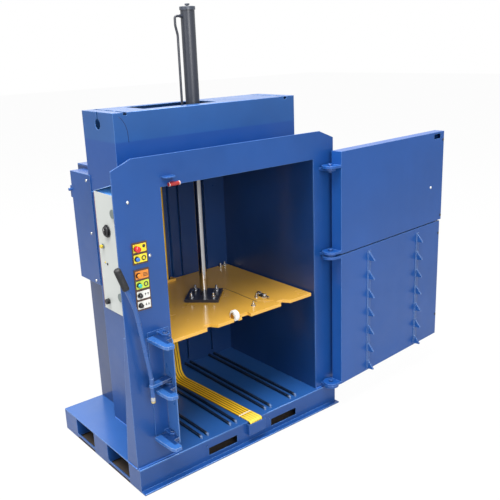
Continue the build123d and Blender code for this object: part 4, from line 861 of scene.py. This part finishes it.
def make_rail_tips():
    rails = nodes["twine_guides"]
    low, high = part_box("twine_guides")
    sides = sorted({round((rails.matrix_world @ v.co).x, 4) for v in rails.data.vertices})
    groups = []
    for x in sides:
        if groups and x - groups[-1][-1] < BAR_GAP:
            groups[-1].append(x)
        else:
            groups.append([x])
    y, foot, top = low.y, low.z, high.z
    for i, group in enumerate(groups):
        a, b = group[0] - TIP_PROUD, group[-1] + TIP_PROUD
        middle = (a + b) / 2
        verts = [(a, y + 0.001, foot), (b, y + 0.001, foot), (middle, y - TIP_NOSE, foot + 0.0006),
                 (a, y - 0.0006, top - 0.004), (b, y - 0.0006, top - 0.004),
                 (middle, y - 0.003, foot + 0.004),
                 (a, y + TIP_BACK, foot), (b, y + TIP_BACK, foot),
                 (a, y + TIP_BACK, top + TIP_PROUD), (b, y + TIP_BACK, top + TIP_PROUD)]
        tip = mesh_object("rail_tip_%d" % i, verts, TIP_FACES, tip_highlight_paint)
        carried(tip, ROOT)


# Isolator: a flat black dial with a ridge and a pale mark
DIAL_PROFILE = [(0.0, 0.0225), (0.0045, 0.0240), (0.0078, 0.0232), (0.0092, 0.0200),
                (0.0094, 0.0020)]
COLLAR_PROFILE = [(0.0, 0.0294), (0.0036, 0.0294), (0.0044, 0.0284), (0.0046, 0.0246)]
DIAL_OUT = 0.0044           # from the panel to the dial's back
LEFTWARDS = (-1, 0, 0)


def make_isolator():
    low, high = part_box("isolator_knob")
    panel_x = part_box("control_panel")[0].x
    dial_x = panel_x - DIAL_OUT
    y, z = (low.y + high.y) / 2, (low.z + high.z) / 2
    dial = turned("isolator_dial", DIAL_PROFILE, (dial_x, y, z), LEFTWARDS, black, "isolator",
                  40)
    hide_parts("isolator_knob")
    ridge = [(y - 0.0040, z - 0.0150), (y + 0.0040, z - 0.0150), (y + 0.0052, z + 0.0150),
             (y, z + 0.0190), (y - 0.0052, z + 0.0150)]
    bar = slab("isolator_ridge", ridge, 0.0085, 0.0130, left_place(dial_x), black_shine)
    carried(bar, "isolator")
    mark = slab("isolator_mark", rectangle(y - 0.0010, y + 0.0010, z + 0.004, z + 0.015),
                0.0128, 0.0134, left_place(dial_x), nylon)
    carried(mark, "isolator")
    turned("isolator_collar", COLLAR_PROFILE, (panel_x, y, z), LEFTWARDS, black, ROOT,
           48)


# Small yellow lamp and lock of the control panel, and the safety actuator's pale rings
LAMP_PROFILE = [(0.0, 0.0042), (0.0018, 0.0042), (0.0030, 0.0030), (0.0033, 0.0006)]
LAMP_YZ = (0.045, 0.929)
LOCK_PROFILE = [(0.0, 0.0056), (0.0022, 0.0056), (0.0026, 0.0044), (0.0020, 0.0014)]
LOCK_YZ = (0.025, 0.925)
RING_PROUD, RING_WIDE = 0.0004, 0.0030


def make_small_marks():
    panel_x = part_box("control_panel")[0].x
    turned("panel_lamp", LAMP_PROFILE, (panel_x, *LAMP_YZ), LEFTWARDS, yellow_button, ROOT,
           24)
    turned("panel_lock", LOCK_PROFILE, (panel_x, *LOCK_YZ), LEFTWARDS, black, ROOT,
           24)
    low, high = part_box("safety_switch")
    radius = (high.z - low.z) / 2
    ring = [(0.0, radius - 0.001), (RING_PROUD, radius + RING_PROUD),
            (RING_WIDE - RING_PROUD, radius + RING_PROUD), (RING_WIDE, radius - 0.001)]
    for side, x in enumerate((low.x + 0.0012, high.x - 0.0042)):
        turned("switch_ring_%d" % side, ring, (x, low.y + radius, low.z + radius), (1, 0, 0),
               nylon, ROOT, 32)


make_strap()
make_legends()
make_screws()
make_grip()
make_welds()
make_seam()
make_door_marks()
make_lid()
make_edges()
make_panel_strip()
make_roller_bolt()
make_lever_ball()
make_latch_fittings()
make_rail_tips()
make_isolator()
make_small_marks()

# Stage, light and camera
FLOOR_SIZE, FLOOR_DROP = 60, 0.0005
FLOOR_GREY = (0.42, 0.42, 0.42, 1)
UNDER_SHADE_COLOUR, UNDER_HALF = srgb(74, 64, 54), (0.6, 0.37)   # the floor seen under the machine, painted dark brown: painted shade
WHITE_SHARE, WHITE_STRENGTH = 0.93, 1.03                    # what the camera sees of a white floor


def make_stage():
    """A pale floor: white to the camera, but for the object's shadow and the part under it, which
    is painted dark brown as a painted shade.
    """
    s = Shader("stage_white")
    s.bsdf.inputs["Roughness"].default_value = 0.9
    emission = s.add("ShaderNodeEmission")
    emission.inputs["Color"].default_value = (1, 1, 1, 1)
    emission.inputs["Strength"].default_value = WHITE_STRENGTH
    path = s.add("ShaderNodeLightPath")
    blend = s.add("ShaderNodeMixShader")
    place = s.place()
    inside = [s.math("LESS_THAN", s.math("ABSOLUTE", place[axis]), half)
              for axis, half in zip("XY", UNDER_HALF)]
    under = s.math("MULTIPLY", *inside)
    outside = s.math("SUBTRACT", 1.0, under)
    s.link(s.mix(under, FLOOR_GREY, UNDER_SHADE_COLOUR), s.bsdf.inputs["Base Color"])
    share = s.math("MULTIPLY", s.math("MULTIPLY", path.outputs["Is Camera Ray"], WHITE_SHARE),
                   outside)
    s.link(share, blend.inputs[0])
    s.link(s.bsdf.outputs[0], blend.inputs[1])
    s.link(emission.outputs[0], blend.inputs[2])
    s.link(blend.outputs[0], s.tree.nodes["Material Output"].inputs["Surface"])
    bpy.ops.mesh.primitive_plane_add(size=FLOOR_SIZE, location=(0, 0, -FLOOR_DROP))
    floor = bpy.context.object
    floor.name = "floor"
    floor.data.materials.append(s.material)


def area(name, place, target, size, energy):
    """A square lamp that looks at a point."""
    lamp = bpy.data.lights.new(name, "AREA")
    lamp.energy = energy
    lamp.size = size
    obj = bpy.data.objects.new(name, lamp)
    bpy.context.scene.collection.objects.link(obj)
    obj.location = place
    obj.rotation_euler = (Vector(target) - Vector(place)).to_track_quat("-Z", "Y").to_euler()


WORLD_LIGHT = 0.38          # the world's strength as a light; seen directly it is 1


def make_world():
    """White to the camera, to gloss and through glass, and a soft light otherwise."""
    world = bpy.data.worlds.new("studio")
    bpy.context.scene.world = world
    world.use_nodes = True
    tree = world.node_tree

    def math_node(operation, *values):
        made = tree.nodes.new("ShaderNodeMath")
        made.operation = operation
        for slot, value in zip(made.inputs, values):
            if isinstance(value, bpy.types.NodeSocket):
                tree.links.new(value, slot)
            else:
                slot.default_value = value
        return made.outputs[0]

    background = tree.nodes["Background"]
    background.inputs["Color"].default_value = (1, 1, 1, 1)
    path = tree.nodes.new("ShaderNodeLightPath").outputs
    direct = math_node("MAXIMUM", path["Is Camera Ray"], path["Is Glossy Ray"])
    clear = math_node("MAXIMUM", direct, path["Is Transmission Ray"])
    seen = math_node("MULTIPLY_ADD", clear, 1 - WORLD_LIGHT, WORLD_LIGHT)
    tree.links.new(seen, background.inputs["Strength"])


# The camera as it was solved from the photograph
CAMERA_PLACE = (-1.8417, -2.7292, 1.8549)
YAW, PITCH, ROLL = math.radians(38.795), math.radians(-16.437), math.radians(-2.214)
FOCAL_PIXELS, PICTURE_PIXELS = 697.9, 500
SENSOR_MM = 36


def make_camera():
    data = bpy.data.cameras.new("camera")
    camera = bpy.data.objects.new("camera", data)
    bpy.context.scene.collection.objects.link(camera)
    forward = Vector((math.sin(YAW) * math.cos(PITCH), math.cos(YAW) * math.cos(PITCH),
                      math.sin(PITCH)))
    level = Vector((math.cos(YAW), -math.sin(YAW), 0))
    upright = level.cross(forward)
    right = level * math.cos(ROLL) + upright * math.sin(ROLL)
    up = upright * math.cos(ROLL) - level * math.sin(ROLL)
    turn = Matrix((right, up, -forward)).transposed()
    camera.matrix_world = Matrix.Translation(CAMERA_PLACE) @ turn.to_4x4()
    data.sensor_width = SENSOR_MM
    data.lens = FOCAL_PIXELS * SENSOR_MM / PICTURE_PIXELS
    data.clip_end = 200
    bpy.context.scene.camera = camera


make_stage()
area("top", (-1.6, -0.8, 8.0), (0, 0, 0.5), size=6.0, energy=1300)
area("front", (-1.6, -4.8, 2.7), (0, 0, 0.7), size=2.6, energy=150)
area("left", (-5.2, -0.6, 2.4), (0, 0, 0.9), size=3.0, energy=44)
area("rear", (2.6, 5.0, 5.2), (0, 0, 1.0), size=2.4, energy=60)
make_world()
make_camera()

bpy.context.scene.view_settings.view_transform = "Standard"
